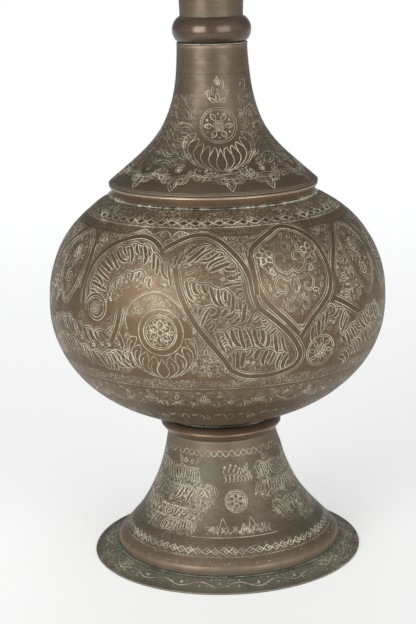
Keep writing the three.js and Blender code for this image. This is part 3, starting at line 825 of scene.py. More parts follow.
# A lotus crown under a roundel, drawn from the middle outwards. The outer side of petal i runs from its
# tip at i steps beside straight down: r = reach + (drop - reach) t^0.8 and
# a = tip (1 + (0.3 share - 0.9) t^2) + swell sin(pi t) (1 - 0.3 share). Its inner side starts on the
# petal before it, and a rib lies between their outer sides.
def lotus(reach, drop, petals, step, swell, ribs):
    t = np.linspace(0, 1, 15)
    paths = []
    for i in range(petals + 1):
        share, tip = i / petals, i * step
        r = reach + (drop * (1 - 0.04 * share) - reach) * t**0.8
        turn = rad(tip * (1 + (0.3 * share - 0.9) * t**2) + swell * np.sin(np.pi * t) * (1 - 0.3 * share))
        outer = whole = np.stack([r * np.sin(turn), -r * np.cos(turn)], 1)
        if i:
            bend = at(reach * 1.09, 180 + tip - 0.45 * step)
            whole = np.vstack([curveThrough([before[4], bend, outer[0]], 0.9)[:-1], outer])
            paths += bothSides((0.6 * outer + 0.4 * before)[3:10]) if ribs else []
        paths += bothSides(whole)
        before = outer
    return paths

# Points inside a polygon, by counting the sides that a level line crosses.
def within(polygon, points):
    a, b = polygon, np.roll(polygon, -1, 0)
    x, y = points[..., 0, None], points[..., 1, None]
    over = (a[:, 1] > y) != (b[:, 1] > y)
    rise = np.where(a[:, 1] == b[:, 1], 1, b[:, 1] - a[:, 1])
    return (over & (x < (b[:, 0] - a[:, 0]) * (y - a[:, 1]) / rise + a[:, 0])).sum(-1) % 2 == 1

# Distance from points to a polygon's sides.
def toEdge(polygon, points):
    a, along = polygon, np.roll(polygon, -1, 0) - polygon
    t = ((points[:, None] - a) * along).sum(-1) / np.maximum((along**2).sum(-1), 1e-9)
    foot = a + along * np.clip(t, 0, 1)[..., None]
    return np.sqrt(((points[:, None] - foot)**2).sum(-1)).min(1)

# How panels are filled: the gap between two circles, the margin at the panel's edge, the most tries
# for one radius, the least radius of a large curl and of a larger one, and the length of sprays
filling = dict(gap=0.25, margin=0.2, tries=6000, large=2.6, larger=3.6, stretch=2.4)

# Circles thrown into a polygon, large ones first: one stays if it is clear of all that stay. The
# number of tries grows with the room that a radius has.
def thrown(polygon, radii, dice, taken=()):
    circles = np.array(taken, float).reshape(-1, 3)
    low, high = polygon.min(0), polygon.max(0)
    for radius in radii:
        tries = int(min(20 * np.prod(high - low) / (np.pi * radius**2), filling["tries"]))
        darts = low + dice.random((tries, 2)) * (high - low)
        darts = darts[within(polygon, darts)]
        darts = darts[toEdge(polygon, darts) > radius * 0.9] if len(darts) else darts
        for dart in darts:
            apart = np.hypot(*(circles[:, :2] - dart).T)
            if (apart > circles[:, 2] + radius + filling["gap"]).all():
                circles = np.vstack([circles, (*dart, radius)])
    return circles[len(taken):]

# Leaf scroll over a panel. Thrown circles hold curls, with a stem to the nearest older one and
# leaves on the rim. Small ones hold a hook, a leaf or a dash that follows the nearest curl round.
def scrollFill(polygon, radii, seed, taken=()):
    dice = np.random.default_rng(seed)
    circles = thrown(polygon, radii, dice, taken)
    big = circles[circles[:, 2] > filling["large"]]
    paths, hand = [], np.ones(len(circles))
    for k, (x, y, r) in enumerate(circles):
        middle = np.array([x, y])
        if r > filling["large"]:
            older = int(np.argmin(np.hypot(*(circles[:k, :2] - middle).T))) if k else 0
            to = circles[older, :2] - middle if k else np.array([0, -1.0])
            hand[k] = -hand[older] if k else 1
            facing, larger = np.degrees(np.arctan2(to[1], to[0])), r > filling["larger"]
            paths.append(curl(r * 0.84, 1.9 if larger else 1.45, 0.15, facing - 50 * hand[k], hand[k]) + middle)
            for lean in np.arange(4 if larger else 3) * 78 + 55:
                turn = facing - 90 + hand[k] * lean
                tuft = leaf(r * 0.52, r * 0.3, 0.3 * hand[k], False)
                paths += laid(tuft, turn + 52 * hand[k], middle + at(r * 0.86, turn))
            continue
        near = big[np.argmin(np.hypot(*(big[:, :2] - middle).T))] if len(big) else (x + 1, y, 1)
        turn = np.degrees(np.arctan2(near[1] - y, near[0] - x)) + dice.choice([0, 180]) + dice.uniform(-25, 25)
        kind = dice.integers(3)
        if kind == 0 and r > 1.3:
            paths.append(curl(r * 0.85, 1.1, 0.3, turn, dice.choice([-1, 1])) + middle)
        elif kind == 1:
            paths += laid(leaf(r * 1.9, r * 1.1, 0.2, False), turn, middle - at(r * 0.95, turn))
        else:
            paths += laid([comma(r * 2, 0.3)], turn, middle - at(r, turn))
    return paths

# Sprays of long bent strokes that lean one way, each with a shorter one beside it or a hook. The panel
# is squeezed along the strokes before circles are thrown, and let out again.
def sprays(polygon, radii, seed, lean):
    dice, stretch = np.random.default_rng(seed), filling["stretch"]
    upright = laid([polygon], -lean)[0] * (1, 1 / stretch)
    paths = []
    for x, y, r in thrown(upright, radii, dice):
        middle = laid([np.array([[x, y * stretch]])], lean)[0][0]
        turn, long, hand = lean + dice.uniform(-16, 16), 2 * r * stretch, dice.choice([-1, 1])
        second = comma(long * 0.6, 0.2 * hand, 1.1) + (-0.7 * r * hand, long * 0.1)
        spray = [comma(long, 0.16 * hand, 1.1), second]
        if r > 1.4:
            spray.append(curl(r * 0.6, 1.2, 0.25, 90, hand) + (0, long))
        paths += laid(spray, turn, middle - at(long / 2, turn))
    return paths

# Only the runs of a path that lie inside a polygon.
def clipped(paths, polygon):
    kept = []
    for path in paths:
        inside = within(polygon, path) & (toEdge(polygon, path) > filling["margin"])
        cuts = np.flatnonzero(np.diff(inside.astype(int))) + 1
        runs = zip(np.split(path, cuts), inside[np.r_[0, cuts]])
        kept += [run for run, ok in runs if ok and len(run) > 2]
    return kept


# Guides: a sheet's outer face by its running length, with distance from the axis, height and normal,
# which is the path's direction turned outwards by a quarter

def guideOf(path):
    along = unit(np.gradient(path, axis=0))
    return dict(run=runOf(path), radius=path[:, 0], height=path[:, 1], outward=along[:, 1], upward=-along[:, 0])

def read(guide, name, run):
    return np.interp(run, guide["run"], guide[name])

def runAt(guide, height):
    return np.interp(height, guide["height"], guide["run"])

# Pen work of one sheet: lines are (path of (angle, running length), width, tone), plates are
# (path, half widths, lift, tone), and fields are (outline in degrees and height, strength).
kinds = ("lines", "plates", "fields")

def newWork(guide):
    return dict(guide=guide, lines=[], plates=[], fields=[])

# Flat work is pressed on at a place given by degrees and height: across becomes an angle by the
# radius there.
def bent(path, guide, turn, height):
    run = runAt(guide, height) + path[:, 1]
    return np.stack([rad(turn) + path[:, 0] / read(guide, "radius", run), run], 1)

def press(work, paths, turn, height, width, tone, spin=0.0, flip=1):
    for path in laid(paths, spin, flip=flip):
        work["lines"].append((bent(path, work["guide"], turn, height), width, tone))

# Plates lie on one another at slightly different lifts, in turns.
def addPlate(work, path, half, lift, tone, step=0.005, every=5):
    work["plates"].append((path, half, lift + step * (len(work["plates"]) % every), tone))

# Both ends of a plate taper: 3 sin(pi t), at least a given share and at most 1.
def taper(path, least):
    return np.clip(np.sin(np.pi * np.linspace(0.03, 0.97, len(path))) * 3, least, 1)

# Stems: paths pressed on as narrow plates with pale edges, tapered at both ends.
def stems(work, paths, turn, height, half=1.15, flip=1, tone=0.9):
    for path in laid(paths, flip=flip):
        addPlate(work, bent(path, work["guide"], turn, height), half * taper(path, 0.35), 0.06, tone)

# Only a scratched ground, without motifs.
def scratched(work, outline, strength=0.5):
    work["fields"].append((np.array(outline, float), strength))

# The four corners of a field between two turns and two heights.
def fieldOf(left, right, low, high):
    return [(left, low), (right, low), (right, high), (left, high)]

# A smooth line through (degrees, height) points.
def lineOn(guide, points, step):
    p = np.asarray(points, float)
    middle, run = rad(p[:, 0].mean()), runAt(guide, p[:, 1])
    flat = np.stack([(rad(p[:, 0]) - middle) * read(guide, "radius", run), run], 1)
    flat = curveThrough(flat, step)
    return np.stack([middle + flat[:, 0] / read(guide, "radius", flat[:, 1]), flat[:, 1]], 1)

# That line drawn with a width and a tone.
def drawLine(work, points, step, width, tone):
    work["lines"].append((lineOn(work["guide"], points, step), width, tone))

# Steps along a line on the sheet in millimetres, and the radius at each of its points.
def stepsAlong(guide, line):
    radius = read(guide, "radius", line[:, 1])
    return np.gradient(line, axis=0) * np.stack([radius, 0 * radius + 1], 1), radius

# The same line moved sideways by a distance, to the left of its run.
def beside(guide, path, away):
    along, radius = stepsAlong(guide, path)
    along = unit(along)
    return np.stack([path[:, 0] - along[:, 1] * away / radius, path[:, 1] + along[:, 0] * away], 1)

# Tongues side by side on the left of a line: each is a plain plate with round ends and its own
# height, width, lean and bow, sin(pi t) of the way up. Its half width is half its width times 1.8
# sin(pi t), at most 1, to the power 0.6. The tongues turn half as far as the line does. A short
# one has a ring over it, and "foot" is the half width of the plate that they stand on.
def tongues(work, points, tall, seed, wide=3.9, gap=1.3, lean=0.0, foot=1.2):
    dice, guide = np.random.default_rng(seed), work["guide"]
    if foot:
        base = lineOn(guide, points, 1.6)
        waved = beside(guide, base, 0.9 * np.sin(np.arange(len(base)) * 0.9 + seed))
        addPlate(work, waved, foot * taper(base, 0.4), 0.045, 1.0, 0)
    line = lineOn(guide, points, wide + gap)
    along, radius = stepsAlong(guide, line)
    turns = np.degrees(np.unwrap(np.arctan2(along[:, 1], along[:, 0])))
    turns = turns.mean() + 0.5 * (turns - turns.mean()) + lean
    for (angle, run), r, turn in zip(line, radius, turns + dice.uniform(-6, 6, len(turns))):
        short = dice.random() < 0.3
        long = tall * (dice.uniform(0.45, 0.6) if short else dice.uniform(0.8, 1.1))
        width = wide * dice.uniform(0.8, 1.12)
        bow, hook = dice.uniform(-0.3, 0.3) * wide, dice.choice([-0.8, 0, 0, 0.8]) * wide
        t = np.linspace(0, 1, max(int(long / 1.1), 6))
        path = np.stack([bow * np.sin(np.pi * t) + hook * t**5, 0.6 + long * t], 1)
        half = width / 2 * np.minimum(1.8 * np.sin(np.pi * (0.03 + 0.93 * t)), 1)**0.6
        above = ring(wide * 0.24, 0.6) + (0, long + 0.6 + wide * 0.6)
        path, above = (np.stack([angle + p[:, 0] / r, run + p[:, 1]], 1) for p in laid([path, above], turn))
        addPlate(work, path, half, 0.05, 1.0)
        if short:
            work["lines"].append((above, 0.8, 1.0))

# Strap: a plain plate with pale edges, and a fine line outside each edge.
def strap(work, points, half=2.3, outer=1.0, tone=0.85):
    path = lineOn(work["guide"], points, 1.8)
    addPlate(work, path, np.full(len(path), half), 0.09, tone, 0.006, 6)
    for side in (-1, 1):
        work["lines"].append((beside(work["guide"], path, side * (half + outer)), 0.75, tone * 0.8))

# A panel with scratched ground, filled with scroll, or with sprays that lean one way.
def fillPanel(work, outline, radii, seed, width=0.85, tone=0.75, lean=None, taken=(), ground=1.0):
    guide, p = work["guide"], np.asarray(outline, float)
    turn, height = p[:, 0].mean(), p[:, 1].mean()
    run = runAt(guide, p[:, 1])
    polygon = np.stack([rad(p[:, 0] - turn) * read(guide, "radius", run), run - runAt(guide, height)], 1)
    scratched(work, outline, ground)
    paths = scrollFill(polygon, radii, seed, taken) if lean is None else sprays(polygon, radii, seed, lean)
    press(work, clipped(paths, polygon), turn, height, width, tone)

# Lines round the vase at a height, and rows of one motif round it.
def roundLine(work, height, width, tone, start=0, end=360):
    turn = rad(np.arange(start, end + 0.6, 1.2))
    work["lines"].append((np.stack([turn, 0 * turn + runAt(work["guide"], height)], 1), width, tone))

# Copy k of a row stands at start + span k / count.
def row(work, motif, height, count, start, width, tone, span=360, spin=0):
    for k in range(count):
        press(work, motif(k), start + span * k / count, height, width, tone, spin)

# Work of one cell repeated round the vase.
def around(work, cells):
    made = newWork(work["guide"])
    for turn in (np.array((2 * np.pi * k / cells, 0)) for k in range(cells)):
        for kind in kinds:
            move = np.degrees(turn) if kind == "fields" else turn
            made[kind] += [(path + move, *rest) for path, *rest in work[kind]]
    return made

# The lines, plates and fields of several works of one sheet put together.
def joined(*works):
    made = newWork(works[0]["guide"])
    for kind in kinds:
        made[kind] = [item for work in works for item in work[kind]]
    return made

# How strongly the ground is scratched at angles and heights.
def groundOf(work):
    def ground(turn, height):
        strength = np.zeros(turn.shape)
        for outline, value in work["fields"]:
            middle = outline[:, 0].mean()
            across = (np.degrees(turn) - middle + 180) % 360 - 180 + middle
            near = (np.abs(across - middle) < 62) & (np.abs(height - outline[:, 1].mean()) < 60)
            hit = within(outline, np.stack([across[near], height[near]], -1))
            strength[near] = np.maximum(strength[near], value * hit)
        return strength
    return ground

# Engraved strips: width of a line of 1, its crest and foot off the sheet, the share of its width at its
# tips, how far strokes wander, how far the edge and inner lanes of plates lie inwards, "cut" at an edge
# and on plain metal, the hollow of a plate, and for maps and meshes the rows and the points of a piece
engraving = dict(line=1.3, above=0.07, below=0.03, tip=0.35, wander=0.1, edge=0.4, inner=1.05, flank=0.12,
    plain=0.07, hollow=0.015, middle=0.01, rows=160, budget=30000)

# A work's paths become low closed strips of three or seven lanes, in pieces of a limited size.
def strips(name, work, finish, seed):
    dice = np.random.default_rng(seed)
    lines, plates = [], []
    for path, width, tone in work["lines"]:
        half = np.full(len(path), engraving["line"] * width / 2) * dice.uniform(0.88, 1.12)
        half[[0, -1]] *= engraving["tip"]
        lines.append((path, half, engraving["above"], tone * dice.uniform(0.8, 1.1)))
    for path, half, lift, tone in work["plates"]:
        plates.append((path, np.maximum(half, 0.2), lift, tone * dice.uniform(0.85, 1.1)))
    made = 0
    for kind, lanes, strokes in (("lines", 3, lines), ("plates", 7, plates)):
        parts = int(np.ceil(sum(len(s[0]) for s in strokes) / (engraving["budget"] * 3 / lanes)))
        for k in range(parts):
            piece = strip(name + "_" + kind + "_" + str(k + 1), strokes[k::parts], lanes, work["guide"], dice)
            settle(piece, finish)
            made += 1
    print(name, len(lines) + len(plates), "strokes in", made, "pieces")

# Lanes of paths: the vertices of a lane lie off the path by its offset, half wide and less inwards, and
# off the sheet by its lift, and the last face closes the strip below. "cut" is low at the
# edges, dark with dirt and painted shade of the groove walls, and reaches the tone where the cut is pale.
def strip(name, strokes, lanes, guide, dice):
    sizes = np.array([len(s[0]) for s in strokes])
    total, first = sizes.sum(), np.r_[0, np.cumsum(sizes)[:-1]]
    last, of = first + sizes - 1, np.repeat(np.arange(len(strokes)), sizes)
    turn, run = np.vstack([s[0] for s in strokes]).T
    radius = read(guide, "radius", run)
    turn = turn + dice.normal(0, engraving["wander"], len(strokes))[of] / radius
    run = run + dice.normal(0, engraving["wander"], len(strokes))[of]
    back, ahead = np.arange(total) - 1, np.arange(total) + 1
    back[first], ahead[last] = first, last
    along = unit(np.stack([(turn[ahead] - turn[back]) * radius, run[ahead] - run[back]], 1))

    half = np.concatenate([s[1] for s in strokes])
    lift, tone = (np.array([s[k] for s in strokes])[of] for k in (2, 3))
    low, flank = 0 * half - engraving["below"], 0 * half + engraving["flank"]
    if lanes == 3:
        offset, rise, cut = (half, 0 * half), (low, lift), (flank, tone)
    else:
        crest = np.maximum(half - engraving["edge"], half * 0.55)
        inner = np.maximum(half - engraving["inner"], half * 0.2)
        offset = (half, crest, inner, 0 * half)
        rise = (low, lift, lift - engraving["hollow"], lift - engraving["middle"])
        plain = np.where(tone < 0.3, tone, engraving["plain"])
        cut = (flank, tone, plain, plain)
    middle = lanes // 2
    points, cuts = np.zeros((total, lanes, 3)), np.zeros((total, lanes))
    for lane in range(lanes):
        side, k = np.sign(lane - middle), middle - abs(lane - middle)
        r = run + side * offset[k] * along[:, 0]
        t = turn - side * offset[k] * along[:, 1] / radius
        points[:, lane] = placed(t, read(guide, "radius", r) + rise[k] * read(guide, "outward", r),
            read(guide, "height", r) + rise[k] * read(guide, "upward", r))
        cuts[:, lane] = cut[k]

    start = np.flatnonzero(ahead > np.arange(total))[:, None] * lanes
    lane = np.arange(lanes)
    beyond = (lane + 1) % lanes
    quads = np.stack([start + beyond, start + lane, start + lanes + lane, start + lanes + beyond], -1)
    caps = np.vstack([first[:, None] * lanes + lane, (last[:, None] * lanes + lane)[:, ::-1]])

    length = np.hypot((turn[ahead] - turn) * radius, run[ahead] - run) + 0.05
    length = np.r_[0, np.cumsum(length)[:-1]] / length.sum() * engraving["rows"] * 0.999
    begin = start[:, 0] // lanes
    level = np.floor(length[begin])
    left, right = length[begin] - level, np.minimum(length[begin + 1] - level, 1)
    low, high = ((level[:, None] + 0.04 + 0.9 * (lane + k) / lanes) / engraving["rows"] for k in (0, 1))
    left, right = left[:, None] + 0 * low, right[:, None] + 0 * low
    corners = np.stack([left, high, left, low, right, low, right, high], -1).reshape(-1, 2)
    where = length[caps[:, 0] // lanes]
    spot = np.stack([where % 1, (np.floor(where) + 0.5) / engraving["rows"]], -1)[:, None]
    spots = spot + polar(0.0006, np.linspace(0, 2 * np.pi, lanes, endpoint=False))
    corners = np.vstack([corners, np.clip(spots, 0, 1).reshape(-1, 2)])
    return meshOf(name, points.reshape(-1, 3), [quads.reshape(-1, 4), caps], dict(cut=cuts), corners)


# Ornament of the bulb. Places are (degrees, height); the cell is a third of the way round.

bulbCut = dict(cells=3, crossings=68, sprigs=36, dashes=96)
bulbLines = ((258.6, 0.7, 0.45), (253.0, 0.9, 0.8), (251.6, 0.7, 0.55), (248.6, 0.7, 0.4), (150.2, 0.75, 0.6),
    (148.6, 0.75, 0.45), (134, 0.75, 0.5), (132.6, 0.75, 0.35))  # height, width and tone
bulbScratches = ((252.8, 258.8, 1.0), (258.8, 262, 0.8), (241, 252.4, 0.3), (131, 148, 0.3),
    (108, 131, 0.2))  # from height to height, and strength

def bulbBorders(guide):
    k, crossings, sprigs, dashes = newWork(guide), bulbCut["crossings"], bulbCut["sprigs"], bulbCut["dashes"]
    knot = crossing(12, 8) + [ring(1.6)] + laid(leaf(5.4, 2.4, 0.2, False), move=(0, 3.4))
    spray = palmette(9, 3, 110, 0.4) + [curl(2.2, 1.3, 0.25, 90, hand) + (-5 * hand, -1) for hand in (1, -1)]
    upright = [comma(7, 0.3), comma(6, -0.3) + (1.8, 0.6), ring(0.8, 0.6) + (-2, 2)]
    for line in bulbLines[:4]:
        roundLine(k, *line)
    row(k, lambda i: crossing(8.0, 5.0), 255.6, crossings, 0, 1.08, 0.95)
    row(k, lambda i: [comma(1.6, 0.2)], 257.2, crossings, 2.65, 0.8, 0.75)
    # Dark diamonds between the crossings: raised plates whose low tone shows only the dark edge colour, dirt
    # and painted shade standing for the cut-out ground.
    for turn in turnsOf(crossings, 2.65):
        diamond = bent(np.stack([np.linspace(-2.1, 2.1, 5), np.zeros(5)], 1), guide, turn, 255.6)
        k["plates"].append((diamond, np.array((0.1, 1.1, 1.8, 1.1, 0.1)), 0.055, 0.16))
    for line in bulbLines[4:]:
        roundLine(k, *line)
    row(k, lambda i: spray if i % 2 else knot, 138.2, sprigs, 4, 0.9, 0.68)
    row(k, lambda i: upright, 134.6, sprigs, 9, 0.85, 0.66)
    row(k, lambda i: [curl(1.5, 1.2, 0.25, 90, (-1)**i, 0.6)], 144, 2 * sprigs, 5, 0.75, 0.6)
    row(k, lambda i: crossing(3.2, 2.4) if i % 3 else [ring(1.0)], 146.8, dashes, 0, 0.7, 0.6)
    row(k, lambda i: leaf(11 - 3 * (i % 2), 4.6, 0.1, i % 2), 121, sprigs, 4, 0.9, 0.7)
    row(k, lambda i: crossing(5, 4) + [comma(4, 0.3) + (4, -3)], 126, sprigs, 9, 0.85, 0.66)
    row(k, lambda i: [comma(3, 0.3)], 117, 60, 0, 0.8, 0.6)
    return k

strapWays = dict(
    leftArch=[(-48.8, 203), (-49.3, 218), (-47.9, 229), (-44.5, 238), (-39.5, 243.8), (-34, 247), (-29, 248),
        (-24, 246), (-19.6, 240.8)],
    centralArch=[(-19.6, 240.8), (-15.5, 244.8), (-10, 248.4), (-4, 249.3), (1.5, 246.2), (5.6, 240.4),
        (9, 233), (11, 224), (11.6, 214), (13, 205)],
    ovalRight=[(13, 205), (17.5, 197), (22, 188), (25.5, 178), (26.8, 170), (24.5, 163), (17.5, 158.8),
        (9, 159.2), (3.8, 164)],
    ovalLeft=[(-14, 231), (-12.6, 219), (-10, 207), (-6.3, 194), (-2, 182), (1.2, 173), (3.8, 164)],
    junction=[(11.6, 239), (12.6, 226), (12.8, 213)],
    medallionRight=[(12.4, 236), (13.4, 240.5), (17, 244.5), (22, 248.3), (27.5, 251.3), (33.5, 249.6),
        (38.4, 244), (40.6, 236), (40.9, 222), (39.2, 210), (35.5, 202), (31, 194), (26.8, 183)],
    medallionLeft=[(12.6, 236), (12.8, 222), (14.8, 211), (18, 203), (22.3, 194), (26.6, 184)],
    farBow=[(52, 243), (48, 236), (44.4, 228), (42, 220)],
    slant=[(41, 204), (46, 198.5), (52, 191)],
    leftFall=[(-36, 181), (-33.5, 192), (-32.3, 204)],
    leftRise=[(-51.6, 240), (-50.2, 228), (-51, 212)])

def bulbStraps(guide):
    k = newWork(guide)
    for points in strapWays.values():
        strap(k, points)
    return k

# Roundel in a lotus crown, inside a drop, with two outer curls.
def bulbRoundel(guide):
    k, spot = newWork(guide), (-18.3, 190)
    dots = [ring(0.55, 0.5) + at(4.9, a) for a in turnsOf(6, 15)]
    dots += [comma(2.6, 0.3) + at(6.2, a) for a in turnsOf(8)]
    press(k, rosette(11.4), *spot, 0.85, 0.8)
    press(k, dots, *spot, 0.75, 0.85)
    press(k, [ring(15.4)], *spot, 0.8, 0.75)
    press(k, lotus(17, 33, 4, 19.5, 9.0, True), *spot, 0.95, 0.85)
    drop = [(-29.6, 190), (-30.4, 197), (-29.4, 205), (-25.6, 212.5), (-20.3, 216), (-15.8, 213),
        (-11.2, 205), (-7.8, 195), (-8, 189)]
    line = lineOn(guide, drop, 1.5)
    k["lines"] += [(line, 0.9, 0.9), (beside(guide, line, 1.3), 0.7, 0.65)]
    row(k, lambda i: leaf(3.2, 1.7, 0.2, False), 199.5, 9, -27.5, 0.7, 0.6, 20, 8)
    for place, hand in (((-30.6, 203), 1), ((-6.4, 200.5), -1), ((-29.6, 186), 1), ((-8, 185), -1)):
        stems(k, [curl(2.6, 1.3, 0.3, 90, hand)], *place, half=0.9)
    inside = [(-30, 200), (-27, 209), (-20.5, 214.5), (-15.5, 211), (-11, 203), (-13, 199.5), (-18.3, 205.6),
        (-25, 200)]
    fillPanel(k, inside, (2.4, 1.7, 1.2), 41, 0.75, 0.75, ground=0.6)
    return k

# Cloud border over the arches: a wavy double line with curls and a heart-shaped pendant.
def bulbClouds(guide):
    k, middle = newWork(guide), -17.2
    half = [(0, 247.6), (1.4, 250.4), (3.6, 251.5), (6.2, 250.2), (8.4, 249.2), (10.6, 250.6), (13, 251.6),
        (15.6, 250.2), (17.6, 248.9)]
    heart = [(0, 247), (1.4, 246.6), (2.3, 245), (1.4, 243.4), (0, 241.6)]
    for flip in (-1, 1):
        wave, lobe = (np.array(points) * (flip, 1) + (middle, 0) for points in (half, heart))
        drawLine(k, wave, 1.2, 0.95, 0.95)
        drawLine(k, wave - (0, 1.5), 1.2, 0.7, 0.6)
        for x, y, r in ((3.6, 249.6, 2.3), (13.4, 249.9, 1.8)):
            stems(k, [curl(r * 1.1, 1.3, 0.3, 90, -flip)], middle + flip * x, y, 0.85)
        drawLine(k, lobe, 1.0, 0.95, 1.0)
    return k

def bulbLeft(guide):
    k = newWork(guide)
    scratched(k, [(-15, 240), (-19.6, 236.6), (-27.6, 243.4), (-36, 241.4), (-43, 235), (-46.6, 226),
        (-47, 208), (-40, 211), (-34.6, 209), (-33.4, 215), (-27, 222), (-21, 220), (-15.6, 224)])
    arch = [(-16.4, 233), (-20.6, 236.6), (-24.6, 241.4), (-29, 243.8), (-34, 242.8), (-39, 239.8),
        (-43.4, 234.6), (-45.9, 227), (-46.6, 217), (-46, 208)]
    tongues(k, arch, 14.5, 30, lean=14)
    tongues(k, [(-22, 224.6), (-27, 228), (-32, 226), (-36, 221), (-38, 214)], 6.5, 31, 3.2, 1.5, -20)
    fillPanel(k, [(-30, 218), (-34, 206.5), (-33.8, 213), (-30, 219), (-26, 224), (-21, 219.6), (-15, 222),
            (-14, 229), (-13.2, 219), (-15, 215.5), (-20.5, 219.5), (-26.4, 217)],
        (1.8, 1.3, 0.9), 32, 0.7, 0.4)
    fillPanel(k, [(-51, 248), (-36.5, 248.2), (-41, 244.6), (-46, 239.4), (-48.4, 236), (-50.6, 242)],
        (2.0, 1.4, 1.0), 34, 0.7, 0.6)
    stems(k, [curl(10.2, 1.5, 0.45, 200, -1)], -42.6, 202, 1.5)
    press(k, rosette(4.0, 5, (1.0,)), -42.6, 202, 0.95, 0.9)
    scratched(k, [(-49.5, 200), (-52, 193), (-53, 178), (-50, 164), (-44, 160), (-37, 178), (-34.6, 192),
        (-36, 198), (-39.5, 192.4), (-45, 190.8)])
    for low, seed in ((191, 35), (176, 38)):
        points = [(-34.6, low), (-39, low - 3.4), (-45, low - 4), (-51.5, low - 1)]
        tongues(k, points, 13.5, seed, 4.6, lean=24)
    scratched(k, [(-33.6, 181), (-37.6, 170), (-42, 160.5), (-31, 160), (-28.2, 166), (-30.8, 178)])
    tongues(k, [(-29.6, 176), (-34, 174.5), (-39, 172)], 12, 36, 4.2, lean=-8)
    return k

# Rows of tongues in the middle panel: line, height, lean and seed, and lines of short ones with seeds
middleRows = (
    ([(8.6, 221), (6.6, 231), (2.4, 239.6), (-3.6, 243.8), (-9, 243), (-13, 238)], 16, -30, 22),
    ([(9, 209), (4, 216.6), (-3, 221), (-10, 224.6)], 14.5, 26, 21),
    ([(11, 201.6), (5, 205), (-1, 207), (-7.4, 208.4)], 13, -22, 27),
    ([(20, 186.6), (13.4, 192), (6, 193.6), (-0.6, 192)], 14.5, 20, 23),
    ([(22.6, 172.6), (16, 177.4), (9, 178.4), (3.4, 176)], 13, -16, 28))
edgeRows = (([(9.2, 212), (8.6, 226)], 29), ([(20, 188), (12.6, 203)], 19), ([(-12.4, 235), (-10, 223)], 17),
    ([(-4.6, 195), (1, 181)], 18))

def bulbMiddle(guide):
    k = newWork(guide)
    scratched(k, [(-15, 240), (-9, 245.6), (-3.8, 246.6), (1, 243), (5.4, 236), (8.2, 226), (9.2, 212),
        (10.6, 203), (16.2, 194), (20.4, 185), (23.4, 176), (23.8, 169), (17.4, 162), (10, 162.6),
        (5.2, 168), (1.8, 179), (-2.4, 190), (-7, 203.6), (-9.4, 214), (-11.2, 228)])
    for points, tall, lean, seed in middleRows:
        tongues(k, points, tall, seed, lean=lean)
    for points, seed in edgeRows:
        tongues(k, points, 6.5, seed, 3.0, 1.2, foot=0)
    fillPanel(k, [(-0.5, 248), (18, 248), (14, 243.4), (11.4, 239), (9.6, 237.4), (6.6, 242.6), (3, 246)],
        (2.0, 1.4, 1.0), 24, 0.65, 0.6)
    fillPanel(k, [(-5.6, 189), (-1.4, 176), (1, 168), (2, 160), (-6.4, 158), (-10.4, 165), (-6.4, 177)],
        (2.2, 1.6, 1.1), 25, 0.8, 0.75, ground=0.7)
    fillPanel(k, [(-60, 157.8), (60, 157.8), (60, 151.2), (-60, 151.2)], (2.4, 1.7, 1.1), 26, 0.75, 0.6,
        ground=0.6)
    for low, high, strength in bulbScratches:
        scratched(k, fieldOf(-60, 60, low, high), strength)
    return k

def bulbRight(guide):
    k, middle, height = newWork(guide), 26.4, 232
    ways = ([(0, -6), (4, -8.4), (9.4, -5.4), (11.6, 0.6), (8.6, 5.8), (3.8, 5), (3, 1), (6, -0.4)],
        [(0, -10), (5, -13), (10, -10.6), (14, -14), (12.6, -20), (7.8, -20.8), (7, -17), (9.8, -15.8)],
        [(0.4, -21), (3.4, -25.6), (7.4, -26.8), (8.4, -31), (5, -32.8), (3.4, -30)],
        [(-0.2, 6), (2.6, 9.4), (1.6, 12.4), (-0.2, 14)])
    hooks = laid(leaf(5.4, 3, 0.3, False), 40, (15.4, -9)) + laid(leaf(5, 2.8, 0.3, False), -70, (12, -22))
    hooks += laid(leaf(5, 2.8, 0.3, False), 150, (15.8, -5.4)) + [comma(6, 0.3) + (19.4, -4)]
    for flip in (-1, 1):
        stems(k, [curveThrough(way) for way in ways], middle, height, 1.05, flip)
        for a in turnsOf(5):
            petal = laid(leaf(5.2, 4.2, 0.1, False), a, (16.4, 4.6) + at(1.5, a))
            press(k, petal, middle, height, 1.0, 0.95, flip=flip)
        press(k, hooks, middle, height, 1.0, 0.9, flip=flip)
    press(k, leaf(12.4, 7, rib=False) + leaf(9.4, 3.6, rib=False), middle, 212, 1.0, 0.95)
    press(k, trefoil(6.4), middle, 191.6, 0.95, 0.95)
    frame = [(15, 238), (19.5, 244), (26.6, 248), (34, 245.6), (38, 239), (38.4, 222), (36.6, 210), (31, 200),
        (27, 196.5), (22, 200), (17, 210), (15, 224)]
    spots = [(side * x, y, r) for x, y, r in ((7, 9.5, 6.6), (16.4, 15, 6.6), (10.5, -7, 6.8), (5.6, -20, 4.2))
        for side in (-1, 1)] + [(0, -9, 4.4), (0, -3, 4.4), (0, 20, 4)]
    fillPanel(k, frame, (2.0, 1.5, 1.1), 51, 0.85, 0.75, taken=spots, ground=0.35)
    return k

